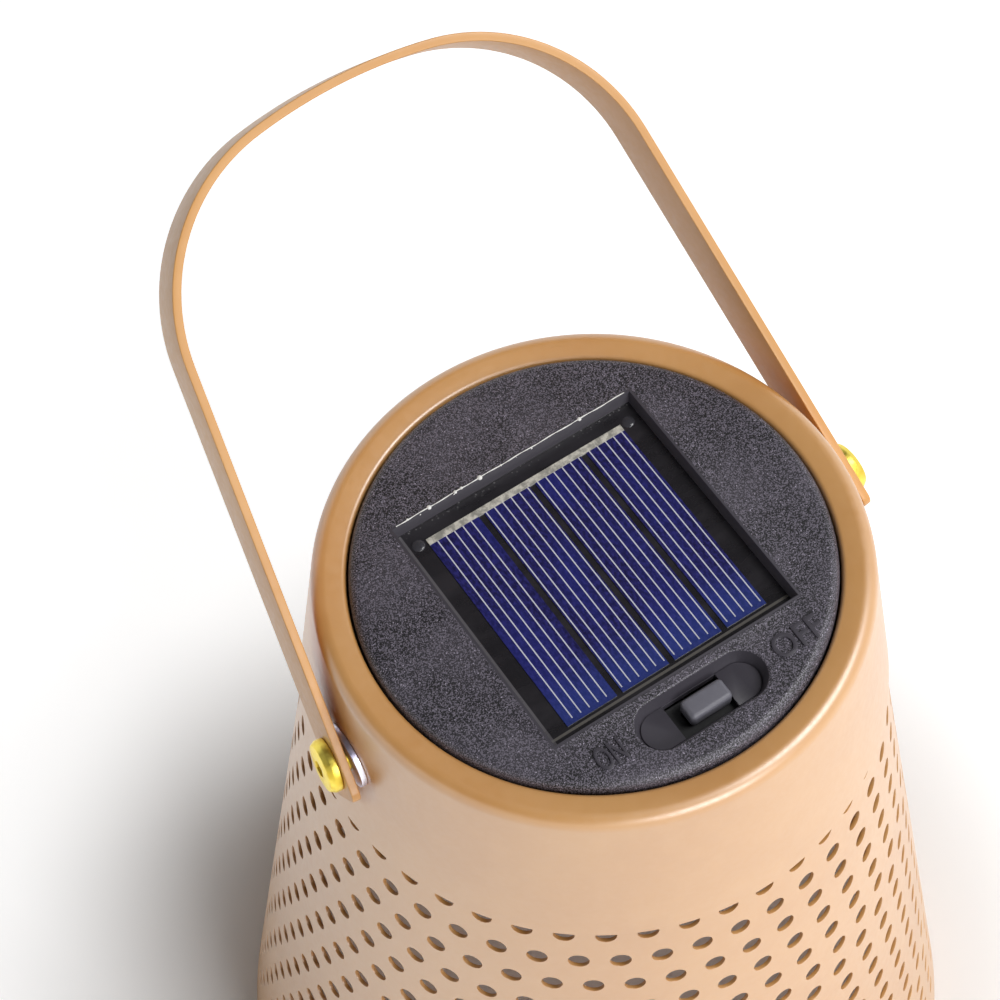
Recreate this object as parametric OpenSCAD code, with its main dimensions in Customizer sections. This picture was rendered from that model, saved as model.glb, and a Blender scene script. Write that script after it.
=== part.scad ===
// Solar table lamp: a perforated tapered shade, a smooth collar with a swinging
// strap handle, and a round solar module that drops into the collar.
// The floor is z = 0 and the lamp's axis is the Z axis. The handle turns about X.

/* [Body] */
// Height from the floor to the crest of the rolled rim
body_h = 198; // [170:1:260]
// Diameter of the shade at the floor
base_d = 158.5; // [140:0.5:190]
// Width of the rim's ring, from the module's seat to its outside
rim_w = 6.4; // [6:0.1:8]
// How far the collar widens from the rim down to its lower edge
neck_flare = 4.8; // [3:0.1:7]
// Height of the collar from its lower edge to the crest of the rim
collar_h = 36; // [30:0.5:60]
// Thickness of the painted sheet
sheet_t = 0.8; // [0.6:0.05:1]
// Radius of the rolled rim
rim_r = 2.6; // [1.8:0.1:3.2]
// How far the rim's top face falls from its crest to the module
rim_fall = 0.5; // [0.2:0.1:1]
// Length of shade that stands inside the collar
shade_lap = 10; // [6:0.5:12]
// Width of the foot turned in at the floor
foot_w = 8; // [5:0.5:14]

/* [Perforation] */
// Diameter of one hole
hole_d = 3.8; // [2.4:0.1:4.6]
// Distance between holes along a row
hole_pitch = 7.55; // [6.4:0.05:9]
// Distance between rows along the slope
row_pitch = 8.65; // [6.4:0.05:10]
// Distance from the collar's edge down to the first row of holes
first_row_drop = 1.8; // [1:0.05:6]
// Plain band left above the floor
foot_band = 13; // [8:1:40]
// Angle at which the odd rows start
row_start_angle = -176.76; // [-180:0.02:180]

/* [Handle] */
// Distance from the pivot up to the middle of the handle's crown
handle_h = 105; // [90:1:130]
// Lean of each strap toward the middle, degrees
strap_lean = 6.2; // [3:0.1:7]
// Width of the flat strap
strap_w = 12; // [10:0.5:16]
// Thickness of the flat strap
strap_t = 1.6; // [1.2:0.1:2]
// Radius of the two bends, at the middle of the strap
bend_r = 34.6; // [20:0.2:45]
// Radius of the crown between the bends
crown_r = 100; // [80:1:200]
// Length of strap below the pivot
strap_tail = 7; // [6.5:0.1:12]
// Rounding of the strap's end corners
strap_end_r = 2; // [1:0.5:4]
// Depth of the pivot below the module's seat edge
pivot_drop = 17.2; // [15:0.1:20]
// Backward lean of the handle at rest, degrees
handle_lean = 52; // [0:1:80]

/* [Pivots] */
// Diameter of the pivot screw's shank
screw_d = 4.9; // [4:0.1:5]
// Length of the pivot screw under its head
screw_l = 11; // [9:0.5:12]
// Diameter of the button head
head_d = 9.9; // [8:0.1:11]
// Height of the button head
head_h = 2.5; // [2:0.1:3]
// Straight edge under the button head's dome
head_edge = 0.5; // [0.3:0.1:0.8]
// Width across the flats of the head's hexagon socket
socket_w = 3; // [2:0.5:4]
// Depth of the hexagon socket
socket_depth = 1.5; // [1:0.1:1.8]
// Diameter of the nut's flange
flange_d = 12.4; // [10:0.2:13]
// Thickness of the nut's flange
flange_t = 1.2; // [0.8:0.05:1.4]
// Diameter of the nut's body
nut_d = 6.9; // [6.6:0.1:7.4]
// Length of the nut behind its flange
nut_l = 9.5; // [7:0.5:10]
// Diameter of the nut's crimped bulge
crimp_d = 9.2; // [8:0.1:10]
// Length of the nut's crimped bulge
crimp_l = 2.5; // [1.5:0.1:3]
// Depth of the flat that is pressed into the collar for the nut
pad_sink = 0.88; // [0.6:0.02:1]
// Radius of that flat
pad_r = 7.2; // [6.8:0.1:8]

/* [Module] */
// Turn of the module in the collar, degrees
module_turn = 1.56; // [0:0.02:10]
// Radius of the collar's seat for the module
seat_r = 43.2; // [42.6:0.1:43.6]
// Depth of the seat ledge below the seat's edge
seat_depth = 6; // [5:0.5:8]
// Width of the seat ledge
ledge_w = 3.6; // [2.5:0.1:3.8]
// Rounding of the seat's top edge
seat_edge_r = 1; // [0.95:0.05:1.4]
// Height of the cap above the seat's edge
cap_rise = 1.6; // [1:0.1:3]
// Thickness of the cap's top plate
cap_t = 2.5; // [2.2:0.1:3.5]
// Rounding of the cap's edge
cap_edge_r = 1.9; // [1:0.1:2.2]
// Thickness of the cap's skirt
skirt_t = 1.6; // [1.2:0.1:1.8]
// Thickness of the seal under the skirt
seal_t = 1; // [0.6:0.1:1.5]
// Distance of the window's corners from the cup's outside
window_corner_gap = 2.84; // [2.6:0.02:4]
// Draft of each window wall
window_draft = 0.6; // [0:0.1:0.7]
// Wall of the housing cup
cup_wall = 1.5; // [1:0.1:1.6]
// Floor of the housing cup
cup_floor_t = 1.6; // [1.2:0.1:2.4]
// Depth of the housing cup below the cap's plate
cup_depth = 32.6; // [31:0.2:38]

/* [Solar panel] */
// Width of the panel board's glued edge, all round the window
panel_lap = 0.8; // [0.6:0.1:0.9]
// Thickness of the panel board
panel_t = 1.8; // [1.2:0.1:2.4]
// Thickness of the adhesive between the panel and the cap
glue_t = 0.3; // [0.2:0.05:0.4]
// Bare edge of the panel on each side of the cells
cell_side = 4.65; // [3:0.05:6]
// Bare edge of the panel before the cells, on the switch's side
cell_near = 3; // [2:0.1:5]
// Edge of the panel beyond the cells, which holds the ribbon
cell_far = 5.2; // [3:0.1:6]
// Gap between the cell strips
cell_gap = 1.2; // [0.6:0.1:2]
// Thickness of the cells
cell_t = 0.2; // [0.15:0.05:0.25]
// Width of the silver ribbon along the cells' far edge
ribbon_w = 1.4; // [1:0.1:2]
// Width of one silver finger line
finger_w = 0.22; // [0.15:0.01:0.4]
// Thickness of the silver lines on the cells
finger_t = 0.06; // [0.04:0.01:0.1]
// Distance between the finger lines, as a share of the cells' width
finger_share = 0.0424; // [0.036:0.0002:0.0426]

/* [Switch] */
// Distance of the switch's middle from the cap's edge
switch_inset = 10.6; // [9.8:0.1:11.3]
// Length of the recess at its top
recess_l = 25.6; // [23:0.2:28]
// Width of the recess at its top
recess_w = 9.3; // [8.6:0.1:9.8]
// Width of the recess at its floor
recess_floor_w = 7; // [6.8:0.1:8]
// Depth of the recess
recess_depth = 2.8; // [2.2:0.1:3.2]
// Thickness of the recess's wall and floor
recess_wall = 1.2; // [0.8:0.1:1.4]
// Length of the slot in the recess's floor
slot_l = 10.8; // [10:0.2:13]
// Width of that slot
slot_w = 6.4; // [5.4:0.1:6.6]
// Length of the knob along its travel
knob_l = 8.6; // [7:0.1:9]
// Width of the knob
knob_w = 4.2; // [3:0.1:4.8]
// How far the knob's top lies under the cap's top
knob_sink = 0.5; // [0:0.1:1.5]
// Rounding of the knob's corners
knob_r = 0.9; // [0.5:0.1:1.4]
// Travel of the knob between its two ends
knob_travel = 1.9; // [1.5:0.1:2]
// Length of the switch's body
switch_l = 12.7; // [12:0.1:14]
// Width of the switch's body
switch_w = 6.6; // [6:0.1:7]
// Height of the switch's body
switch_h = 4.5; // [4:0.1:6]
// Thickness of the switch's top frame
switch_frame_t = 0.6; // [0.4:0.1:0.9]

/* [Battery] */
// Diameter of the cell
battery_d = 14.5; // [13.5:0.1:14.5]
// Length of the cell with its button
battery_l = 50.5; // [49:0.1:50.5]
// Diameter of the button on the cell's end
button_d = 5.5; // [4:0.1:5.5]
// Height of that button
button_h = 1.1; // [0.8:0.1:1.5]
// Thickness of the cell's printed sleeve
sleeve_t = 0.25; // [0.15:0.05:0.4]
// Place of the cell along Y
battery_y = 16.5; // [16.2:0.1:17]
// Thickness of the contact plates
contact_t = 0.4; // [0.3:0.05:0.5]
// Width of the contact plates
contact_w = 9; // [7:0.5:10]
// Height of the contact plates
contact_h = 12; // [10:0.5:13]
// Thickness of the walls that hold the contacts
holder_t = 1.2; // [1:0.1:1.4]
// Thickness of the battery door
door_t = 1.6; // [1.2:0.1:2]
// Width of the door's border around the opening
door_lip = 1.3; // [1:0.1:1.5]
// Radius of the door's screw ear
ear_r = 3.2; // [2.8:0.1:3.4]
// Place of the door's screw along X
ear_x = 12; // [10:0.5:16]
// Distance of the door's screw beyond the opening
ear_reach = 3.9; // [3.5:0.1:4.2]

/* [Light] */
// Radius of the lens where it passes the floor
lens_r = 6; // [5:0.1:6]
// Radius of the lens's flange
lens_flange_r = 7.4; // [7:0.1:7.6]
// Thickness of the lens's flange
lens_flange_t = 1; // [0.8:0.1:1.2]
// Wall of the lens
lens_wall = 1.3; // [1:0.1:1.6]
// Length of the lens's barrel below the floor
lens_drop = 1; // [0:0.1:3]
// Diameter of the light-emitting diode
led_d = 5; // [3:0.1:5]
// Diameter of the diode's base ring
led_ring_d = 5.8; // [5.4:0.1:6]
// Thickness of the diode's base ring
led_ring_t = 1; // [0.8:0.1:1.2]
// Length of the diode below the board
led_l = 5.6; // [5:0.1:6]
// Length of the circuit board along X
board_l = 40; // [38:1:44]
// Width of the circuit board along Y
board_w = 17; // [15:0.5:17.5]
// Place of the board's middle along Y
board_y = -4; // [-5:0.5:-3]
// Thickness of the circuit board
board_t = 1.6; // [1:0.1:1.6]
// Height of the board above the cup's floor
board_rise = 7.6; // [7.4:0.1:9]
// Radius of the posts under the board
board_post_r = 2.2; // [2:0.1:2.5]
// Distance of those posts from the board's edges
board_post_inset = 3; // [2.6:0.1:4]
// Width of the charge chip
chip_w = 5; // [4:0.1:6]
// Thickness of the charge chip
chip_t = 1.8; // [1.4:0.1:2.4]
// Height of the charge chip
chip_h = 4; // [3:0.1:5]
// Place of the charge chip along X
chip_x = -6; // [-9:0.5:-4]
// Diameter of the coil former
coil_d = 4; // [3:0.1:5]
// Length of the coil former
coil_l = 9; // [7:0.5:11]
// Place of the coil along X
coil_x = 8; // [7:0.5:10]

/* [Wires] */
// Radius of an insulated wire
wire_r = 0.6; // [0.4:0.05:0.65]
// Place along X of the wires' soldered ends on the board
land_x = 13.6; // [13.4:0.1:13.8]
// Place along Y of the panel's wire ends, from the board's middle
land_y = 1; // [0:0.5:2]
// Distance along Y from there to the battery's wire ends
land_step = 5; // [4.5:0.5:6]
// Place along X of the panel's solder tabs
panel_tab_x = 9; // [7:0.5:12]
// Place along Y of the panel's solder tabs
panel_tab_y = 4; // [2:0.5:6]
// Place along X of the switch's solder tabs
switch_tab_x = 3; // [2.5:0.5:4]
// Rise of the battery's wires over the board's screws
wire_rise = 4; // [3.5:0.5:5]
// Sideways bow of the panel's wires
wire_bow = 1.5; // [1:0.5:2.5]

/* [Fasteners] */
// Radius of the posts that carry the housing screws
post_r = 3; // [2.6:0.1:3.2]
// Distance of those posts from the cup's outside
post_inset = 7.4; // [7:0.1:7.8]
// Radius of a small screw's shank
small_screw_r = 1.2; // [1:0.05:1.3]
// Length of a small screw under its head
small_screw_l = 8; // [5:0.5:10]
// Radius of a small screw's head
small_head_r = 2.4; // [2:0.1:2.6]
// Height of a small screw's head
small_head_h = 1.5; // [1.2:0.1:1.8]
// Width of a small screw's cross slot
small_slot_w = 0.6; // [0.4:0.1:0.8]
// Depth of a small screw's cross slot
small_slot_depth = 0.8; // [0.5:0.1:1]

/* [Clearances] */
// Gap between sheets and pieces that are fixed to each other
fit_gap = 0.1; // [0.05:0.05:0.15]
// Gap around the module in its seat
cap_gap = 0.4; // [0.3:0.05:0.5]
// Gap between the housing cup and the ledge that it passes
cup_gap = 0.7; // [0.5:0.05:1]
// Gap between the nut's flange and the strap at the pivot
strap_gap = 0.8; // [0.76:0.01:3]
// Gap beside pieces that slide or lift
slide_gap = 0.3; // [0.2:0.05:0.35]

/* [Hidden] */
$fn = 64;
// Overrun of every cut
cut = 1;
// Steps of an arc in an outline, and facets of a small round piece
arc_steps = 10;
small_fn = 24;
shade_panels = 72;
hole_fn = 16;
wire_sides = 8;
wire_steps = 8;

sheet_colour = [0.80, 0.62, 0.41];
brass_colour = [0.79, 0.66, 0.34];
zinc_colour = [0.74, 0.76, 0.80];
cap_colour = [0.20, 0.20, 0.22];

// Levels along the lamp's axis
collar_z = body_h - collar_h;
seat_z = body_h - rim_fall;
ledge_z = seat_z - seat_depth;
pivot_z = seat_z - pivot_drop;
cap_top = seat_z + cap_rise;
cap_under = cap_top - cap_t;
cup_z = cap_under - cup_depth;
cup_floor = cup_z + cup_floor_t;
board_z = cup_floor + board_rise;

// Diameters of the collar at its rim and at its lower edge
rim_d = 2 * (seat_r + rim_w);
neck_d = rim_d + 2 * neck_flare;

// Shade: a straight taper from the floor to the collar's inside
shade_neck_r = neck_d / 2 - sheet_t - fit_gap;
shade_slope = (base_d / 2 - shade_neck_r) / collar_z;
shade_tilt = atan(shade_slope);
shade_wall_r = sheet_t / cos(shade_tilt);
shade_top = collar_z + shade_lap;
row_step = row_pitch * cos(shade_tilt);
first_row_z = collar_z - first_row_drop;
rows = floor((first_row_z - foot_band) / row_step) + 1;
function shade_r(z) = base_d / 2 - shade_slope * z;

// Collar: the wall's line touches the circle of the rolled rim
rim_c = [rim_d / 2 - rim_r, body_h - rim_r];
rim_offset = [neck_d / 2 - rim_c.x, rim_c.y - collar_z];
collar_tilt = atan(rim_offset.x / rim_offset.y) - asin(rim_r / norm(rim_offset));
crown_fall = atan(rim_fall / (rim_c.x - seat_r));
rim_end = rim_c + rim_r * [-sin(crown_fall), cos(crown_fall)];
seat_edge_x = seat_r + seat_edge_r;
seat_edge_run = (rim_end.x + seat_edge_r * sin(crown_fall) - seat_edge_x) / cos(crown_fall);
seat_edge_c = [seat_edge_x, rim_end.y - seat_edge_run * sin(crown_fall) - seat_edge_r * cos(crown_fall)];
function collar_r(z) = neck_d / 2 - (z - collar_z) * tan(collar_tilt);
pad_x = collar_r(pivot_z) - pad_sink;

// The shade's upper edge follows the collar's inside
lap_r = shade_neck_r - shade_lap * tan(collar_tilt);
lap_wall_r = sheet_t / cos(collar_tilt);

// Handle outline in its own plane, with the pivot at the origin
strap_x = pad_x + flange_t + strap_gap + strap_t / 2 / cos(strap_lean);
strap_dir = [-sin(strap_lean), cos(strap_lean)];
strap_out = [cos(strap_lean), sin(strap_lean)];
crown_c = [0, handle_h - crown_r];
bend_foot = [strap_x, 0] - bend_r * strap_out;
bend_half_sum = strap_dir * (bend_foot - crown_c);
bend_rest = pow(norm(bend_foot - crown_c), 2) - pow(crown_r - bend_r, 2);
bend_c = bend_foot + (sqrt(pow(bend_half_sum, 2) - bend_rest) - bend_half_sum) * strap_dir;
bend_end = atan2(bend_c.y - crown_c.y, bend_c.x);
strap_face_x = strap_x + strap_t / 2 / cos(strap_lean);

// Module
cap_r = seat_r - cap_gap;
cup_r = seat_r - ledge_w - cup_gap;
post_reach = cup_r - post_inset;
switch_y = switch_inset - cap_r;
skirt_z = ledge_z + seal_t + fit_gap;
panel_top = cap_under - glue_t;
panel_z = panel_top - panel_t;
window_w = sqrt(2) * (cup_r - window_corner_gap);
window_floor_w = window_w - 2 * window_draft;
panel_w = window_floor_w + 2 * panel_lap;
cells_w = window_w - 2 * cell_side;
cells_l = window_w - cell_near - cell_far;
finger_pitch = finger_share * cells_w;
cell_shares = [0.26, 0.52, 0.785];
cell_fingers = [5, 6, 6, 5];
cells_x0 = -cells_w / 2;
cells_y0 = cell_near - window_w / 2;
recess_z = cap_top - recess_depth;
recess_under = recess_z - recess_wall;
switch_top = recess_under - fit_gap;
switch_z = switch_top - switch_h;
stem_w = knob_w / 2;
stem_l = knob_l / 2;
knob_room = (slot_l - knob_l - knob_travel) / 2;
knob_x = slot_l / 2 - knob_l / 2 - knob_room;
post_angles = [0, 90, 180];

// Battery and its door
battery_r = battery_d / 2;
door_top = cup_z - fit_gap;
saddle_h = cup_floor_t + slide_gap;
battery_z = cup_floor + slide_gap + battery_r;
opening_l = battery_l + 2 * slide_gap;
opening_w = battery_d + 2 * slide_gap;
contact_x = battery_l / 2 + fit_gap;
holder_x = contact_x + contact_t + fit_gap;
ear_y = battery_y + opening_w / 2 + ear_reach;
ear_post_h = small_screw_l;
door_rib_t = holder_t;

function arc(c, r, a0, a1) = [for (i = [0:arc_steps])
    c + r * [cos(a0 + (a1 - a0) * i / arc_steps), sin(a0 + (a1 - a0) * i / arc_steps)]];
function flip_x(p) = [for (q = p) [-q.x, q.y]];
function reversed(p) = [for (i = [len(p) - 1:-1:0]) p[i]];

// Turns the module's pieces to the place where the module sits
module in_module() rotate(module_turn) children();

// Copies a piece to both pivots, laid along X and pointing outward
module at_pivots(x) {
    for (side = [0, 1])
        mirror([side, 0, 0]) translate([x, 0, pivot_z]) rotate([0, 90, 0]) children();
}

// Places a piece of the handle, which is drawn upright, at its resting lean
module in_handle() translate([0, 0, pivot_z]) rotate([-handle_lean, 0, 0]) children();

// A box that stands on z, centred on the axis in X and Y
module block(l, w, h) translate([-l / 2, -w / 2, 0]) cube([l, w, h]);

// A box with round upright corners
module soft_block(l, w, h, r) {
    block(l - 2 * r, w, h);
    block(l, w - 2 * r, h);
    for (x = [-1, 1]) for (y = [-1, 1])
        translate([x * (l / 2 - r), y * (w / 2 - r), 0]) cylinder(h = h, r = r, $fn = small_fn);
}

// A long round-ended well with sloping walls, from its floor up to its top
module well(l, top_r, floor_r, h) {
    run = l - 2 * top_r;
    for (side = [-1, 1]) translate([side * run / 2, 0, 0]) cylinder(h = h, r1 = floor_r, r2 = top_r);
    translate([-run / 2, 0, 0]) rotate([90, 0, 90]) linear_extrude(run)
        polygon([[-floor_r, 0], [floor_r, 0], [top_r, h], [-top_r, h]]);
}

// A small screw that points up, with its head's top at z = 0 and a cross slot
module small_screw() {
    difference() {
        cylinder(h = small_head_h, r = small_head_r, $fn = small_fn);
        for (turn = [0, 90]) rotate(turn) translate([0, 0, -cut])
            block(small_head_r * 1.4, small_slot_w, cut + small_slot_depth);
    }
    cylinder_above(small_head_h, small_screw_l, small_screw_r);
}

module cylinder_above(z, h, r) translate([0, 0, z]) cylinder(h = h, r = r, $fn = small_fn);

// A round wire through a list of points, as a smooth run between them
function mix4(p, u) = 0.5 * ((2 * p[1]) + (p[2] - p[0]) * u
    + (2 * p[0] - 5 * p[1] + 4 * p[2] - p[3]) * u * u
    + (3 * p[1] - p[0] - 3 * p[2] + p[3]) * u * u * u);
function run_points(p) = let (n = len(p) - 1) concat([for (i = [0:n - 1], k = [0:wire_steps - 1])
    mix4([p[max(i - 1, 0)], p[i], p[i + 1], p[min(i + 2, n)]], k / wire_steps)], [p[n]]);
function unit(v) = v / norm(v);
module wire(p) {
    route = run_points(p);
    last = len(route) - 1;
    aim = [for (i = [0:last]) unit(route[min(i + 1, last)] - route[max(i - 1, 0)])];
    across = [for (a = aim) unit(cross(a, [0.31, 1, 0.17]))];
    skin = [for (i = [0:last], k = [0:wire_sides - 1]) let (t = 360 * k / wire_sides)
        route[i] + wire_r * (cos(t) * across[i] + sin(t) * cross(aim[i], across[i]))];
    sides = [for (i = [0:last - 1], k = [0:wire_sides - 1]) let (m = (k + 1) % wire_sides)
        for (face = [[i * wire_sides + k, i * wire_sides + m, (i + 1) * wire_sides + m],
            [i * wire_sides + k, (i + 1) * wire_sides + m, (i + 1) * wire_sides + k]]) reversed(face)];
    lids = [[for (k = [0:wire_sides - 1]) k],
        [for (k = [wire_sides - 1:-1:0]) last * wire_sides + k]];
    polyhedron(points = skin, faces = concat(sides, lids));
}

// Perforated shade: narrow flat panels stand in for the rolled sheet, so that each hole is
// a true drilled hole. Its foot is turned in at the floor.
shade_rings = [[base_d / 2, 0], [shade_neck_r, collar_z], [lap_r, shade_top],
    [lap_r - lap_wall_r, shade_top], [shade_neck_r - shade_wall_r, collar_z],
    [base_d / 2 - shade_wall_r, 0]];

module shade_shell() {
    n = shade_panels;
    rings = len(shade_rings);
    polyhedron(
        points = [for (p = shade_rings, k = [0:n - 1])
            [p.x * cos(360 * k / n), p.x * sin(360 * k / n), p.y]],
        faces = [for (i = [0:rings - 1], k = [0:n - 1]) let (j = (i + 1) % rings, m = (k + 1) % n)
            [j * n + k, j * n + m, i * n + m, i * n + k]]);
}

module shade_holes() {
    for (i = [0:rows - 1]) {
        z = first_row_z - i * row_step;
        count = round(2 * PI * shade_r(z) / hole_pitch);
        for (k = [0:count - 1])
            rotate(row_start_angle + (k + (i % 2) / 2) * 360 / count)
                translate([shade_r(z) - shade_wall_r, 0, z]) rotate([0, 90 - shade_tilt, 0])
                    translate([0, 0, -cut])
                        cylinder(h = shade_wall_r + 2 * cut, d = hole_d, $fn = hole_fn);
    }
}

module shade() {
    color(sheet_colour) {
        difference() {
            shade_shell();
            shade_holes();
        }
        rotate_extrude() translate([base_d / 2 - foot_w, 0])
            square([foot_w - shade_wall_r / 2, sheet_t]);
    }
}

// Collar with its rolled rim, the seat for the module and the pressed pivot flats
collar_outside = concat(
    [[neck_d / 2, collar_z]],
    arc(rim_c, rim_r, collar_tilt, 90 + crown_fall),
    arc(seat_edge_c, seat_edge_r, 90 + crown_fall, 180),
    [[seat_r, ledge_z], [seat_r - ledge_w, ledge_z]]);
collar_inside = concat(
    [[neck_d / 2 - sheet_t / cos(collar_tilt), collar_z]],
    arc(rim_c, rim_r - sheet_t, collar_tilt, 90 + crown_fall),
    arc(seat_edge_c, seat_edge_r - sheet_t, 90 + crown_fall, 180),
    [[seat_r + sheet_t, ledge_z - sheet_t], [seat_r - ledge_w, ledge_z - sheet_t]]);

module collar() {
    color(sheet_colour) difference() {
        union() {
            rotate_extrude() polygon(concat(collar_outside, reversed(collar_inside)));
            intersection() {
                at_pivots(pad_x - sheet_t) cylinder(h = 2 * sheet_t, r = pad_r + sheet_t);
                translate([0, 0, collar_z]) cylinder(h = rim_c.y - collar_z,
                    r1 = collar_r(collar_z), r2 = collar_r(rim_c.y));
            }
            at_pivots(pad_x - sheet_t) cylinder(h = sheet_t, r = pad_r + sheet_t);
        }
        at_pivots(pad_x) cylinder(h = pad_r, r = pad_r);
        at_pivots(pad_x - sheet_t - crimp_l) cylinder(h = crimp_l, d = crimp_d + 2 * fit_gap);
        at_pivots(pad_x - sheet_t - cut) cylinder(h = sheet_t + 2 * cut, d = nut_d + 2 * fit_gap);
    }
}

module rivet_nuts() {
    color(zinc_colour) at_pivots(pad_x) difference() {
        union() {
            cylinder(h = flange_t, d = flange_d);
            translate([0, 0, -nut_l]) cylinder(h = nut_l + flange_t, d = nut_d);
            translate([0, 0, -sheet_t - crimp_l]) cylinder(h = crimp_l, d = crimp_d);
        }
        translate([0, 0, -nut_l - cut]) cylinder(h = nut_l + flange_t + 2 * cut, d = screw_d + 2 * fit_gap);
    }
}

// One face of the handle's outline, moved out from the strap's middle
function handle_face(out) = let (side = concat(
        [[strap_x, 0] - strap_tail * strap_dir + out * strap_out],
        arc(bend_c, bend_r + out, strap_lean, bend_end)))
    concat(side, arc(crown_c, crown_r + out, bend_end, 180 - bend_end), reversed(flip_x(side)));

module handle_end_corners() {
    reach = strap_face_x + strap_tail;
    for (side = [-1, 1]) translate([0, side * (strap_w / 2 - strap_end_r),
            strap_end_r - strap_tail * cos(strap_lean)]) difference() {
        translate([-reach, side > 0 ? 0 : -strap_end_r - cut, -strap_end_r - cut])
            cube([2 * reach, strap_end_r + cut, strap_end_r + cut]);
        rotate([0, 90, 0]) translate([0, 0, -reach - cut])
            cylinder(h = 2 * (reach + cut), r = strap_end_r, $fn = small_fn);
    }
}

module handle() {
    color(sheet_colour) difference() {
        in_handle() difference() {
            rotate([90, 0, 0]) translate([0, 0, -strap_w / 2]) linear_extrude(strap_w)
                polygon(concat(handle_face(strap_t / 2), reversed(handle_face(-strap_t / 2))));
            handle_end_corners();
        }
        at_pivots(strap_x - strap_t - cut) cylinder(h = 2 * (strap_t + cut), d = screw_d + 2 * fit_gap);
    }
}

module button_head() {
    dome_r = (pow(head_d / 2, 2) + pow(head_h - head_edge, 2)) / 2 / (head_h - head_edge);
    dome_half = asin(head_d / 2 / dome_r);
    difference() {
        rotate_extrude() polygon(concat([[0, 0], [head_d / 2, 0]],
            arc([0, head_h - dome_r], dome_r, 90 - dome_half, 90)));
        translate([0, 0, head_h - socket_depth])
            cylinder(h = socket_depth + cut, d = socket_w / cos(30), $fn = 6);
    }
}

module pivot_screws() {
    tip_x = strap_face_x - screw_l;
    color(brass_colour) {
        in_handle() for (side = [0, 1]) mirror([side, 0, 0])
            translate([strap_face_x, 0, 0]) rotate([0, 90 - strap_lean, 0]) button_head();
        at_pivots(tip_x) cylinder(h = screw_l + head_edge, d = screw_d);
    }
}

// Cap of the module, with its window, its switch recess and three posts
module cap_shell() {
    rotate_extrude() polygon(concat(
        [[0, cap_under], [cap_r - skirt_t, cap_under], [cap_r - skirt_t, skirt_z], [cap_r, skirt_z]],
        arc([cap_r - cap_edge_r, cap_top - cap_edge_r], cap_edge_r, 0, 90), [[0, cap_top]]));
}

module at_posts() for (a = post_angles) rotate(a) translate([post_reach, 0, 0]) children();

module recess_cut(grow, z, h) {
    slope = (recess_w - recess_floor_w) / 2 / recess_depth;
    translate([0, switch_y, z]) well(recess_l + 2 * grow - (cap_top - z - h) * 2 * slope,
        recess_w / 2 + grow - (cap_top - z - h) * slope, recess_w / 2 + grow - (cap_top - z) * slope, h);
}

module module_cap() {
    color(cap_colour) in_module() difference() {
        union() {
            difference() {
                cap_shell();
                translate([0, 0, cap_under]) linear_extrude(cap_t, scale = window_w / window_floor_w)
                    square(window_floor_w, center = true);
            }
            recess_cut(recess_wall, recess_under, cap_top - recess_under - cap_edge_r / 2);
            at_posts() translate([0, 0, cup_floor]) cylinder(h = cap_under - cup_floor, r = post_r);
        }
        recess_cut(0, recess_z, recess_depth + cut / 4);
        translate([0, switch_y, recess_under - cut]) block(slot_l, slot_w, recess_wall + 2 * cut);
        at_posts() translate([0, 0, cup_floor - cut])
            cylinder(h = small_screw_l + cut, r = small_screw_r + fit_gap, $fn = small_fn);
    }
}

module seal_ring() {
    color([0.12, 0.12, 0.12]) translate([0, 0, ledge_z + fit_gap / 2]) difference() {
        cylinder(h = seal_t, r = cap_r);
        translate([0, 0, -cut]) cylinder(h = seal_t + 2 * cut, r = seat_r - ledge_w + slide_gap);
    }
}

// Solar panel: board, four strips of cells, and the silver lines on them
module solar_panel() {
    color([0.10, 0.10, 0.12]) in_module() translate([0, 0, panel_z]) block(panel_w, panel_w, panel_t);
}

function cell_edges(i) = [i == 0 ? cells_x0 : cells_x0 + cell_shares[i - 1] * cells_w + cell_gap / 2,
    i == 3 ? cells_x0 + cells_w : cells_x0 + cell_shares[i] * cells_w - cell_gap / 2];

module solar_cells() {
    color([0.16, 0.17, 0.50]) in_module() for (i = [0:3]) let (e = cell_edges(i))
        translate([e[0], cells_y0, panel_top]) cube([e[1] - e[0], cells_l, cell_t]);
}

module cell_ribbon() {
    color([0.85, 0.86, 0.88]) in_module() {
        translate([cells_x0, cells_y0 + cells_l, panel_top]) cube([cells_w, ribbon_w, cell_t + finger_t]);
        for (i = [0:3]) let (e = cell_edges(i), n = cell_fingers[i], middle = (e[0] + e[1]) / 2)
            for (k = [0:n - 1])
                translate([middle + (k - (n - 1) / 2) * finger_pitch - finger_w / 2,
                    cells_y0 + finger_pitch / 2, panel_top + cell_t])
                    cube([finger_w, cells_l - finger_pitch / 2 + ribbon_w / 2, finger_t]);
    }
}

module panel_adhesive() {
    color([0.85, 0.85, 0.82]) in_module() translate([0, 0, panel_top]) difference() {
        block(panel_w, panel_w, glue_t);
        translate([0, 0, -cut]) block(window_floor_w, window_floor_w, glue_t + 2 * cut);
    }
}

// Housing cup with the battery's opening, the lens hole, and its posts and walls
module door_shape(grow, h) translate([0, battery_y, 0]) block(opening_l + 2 * grow, opening_w + 2 * grow, h);

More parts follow.
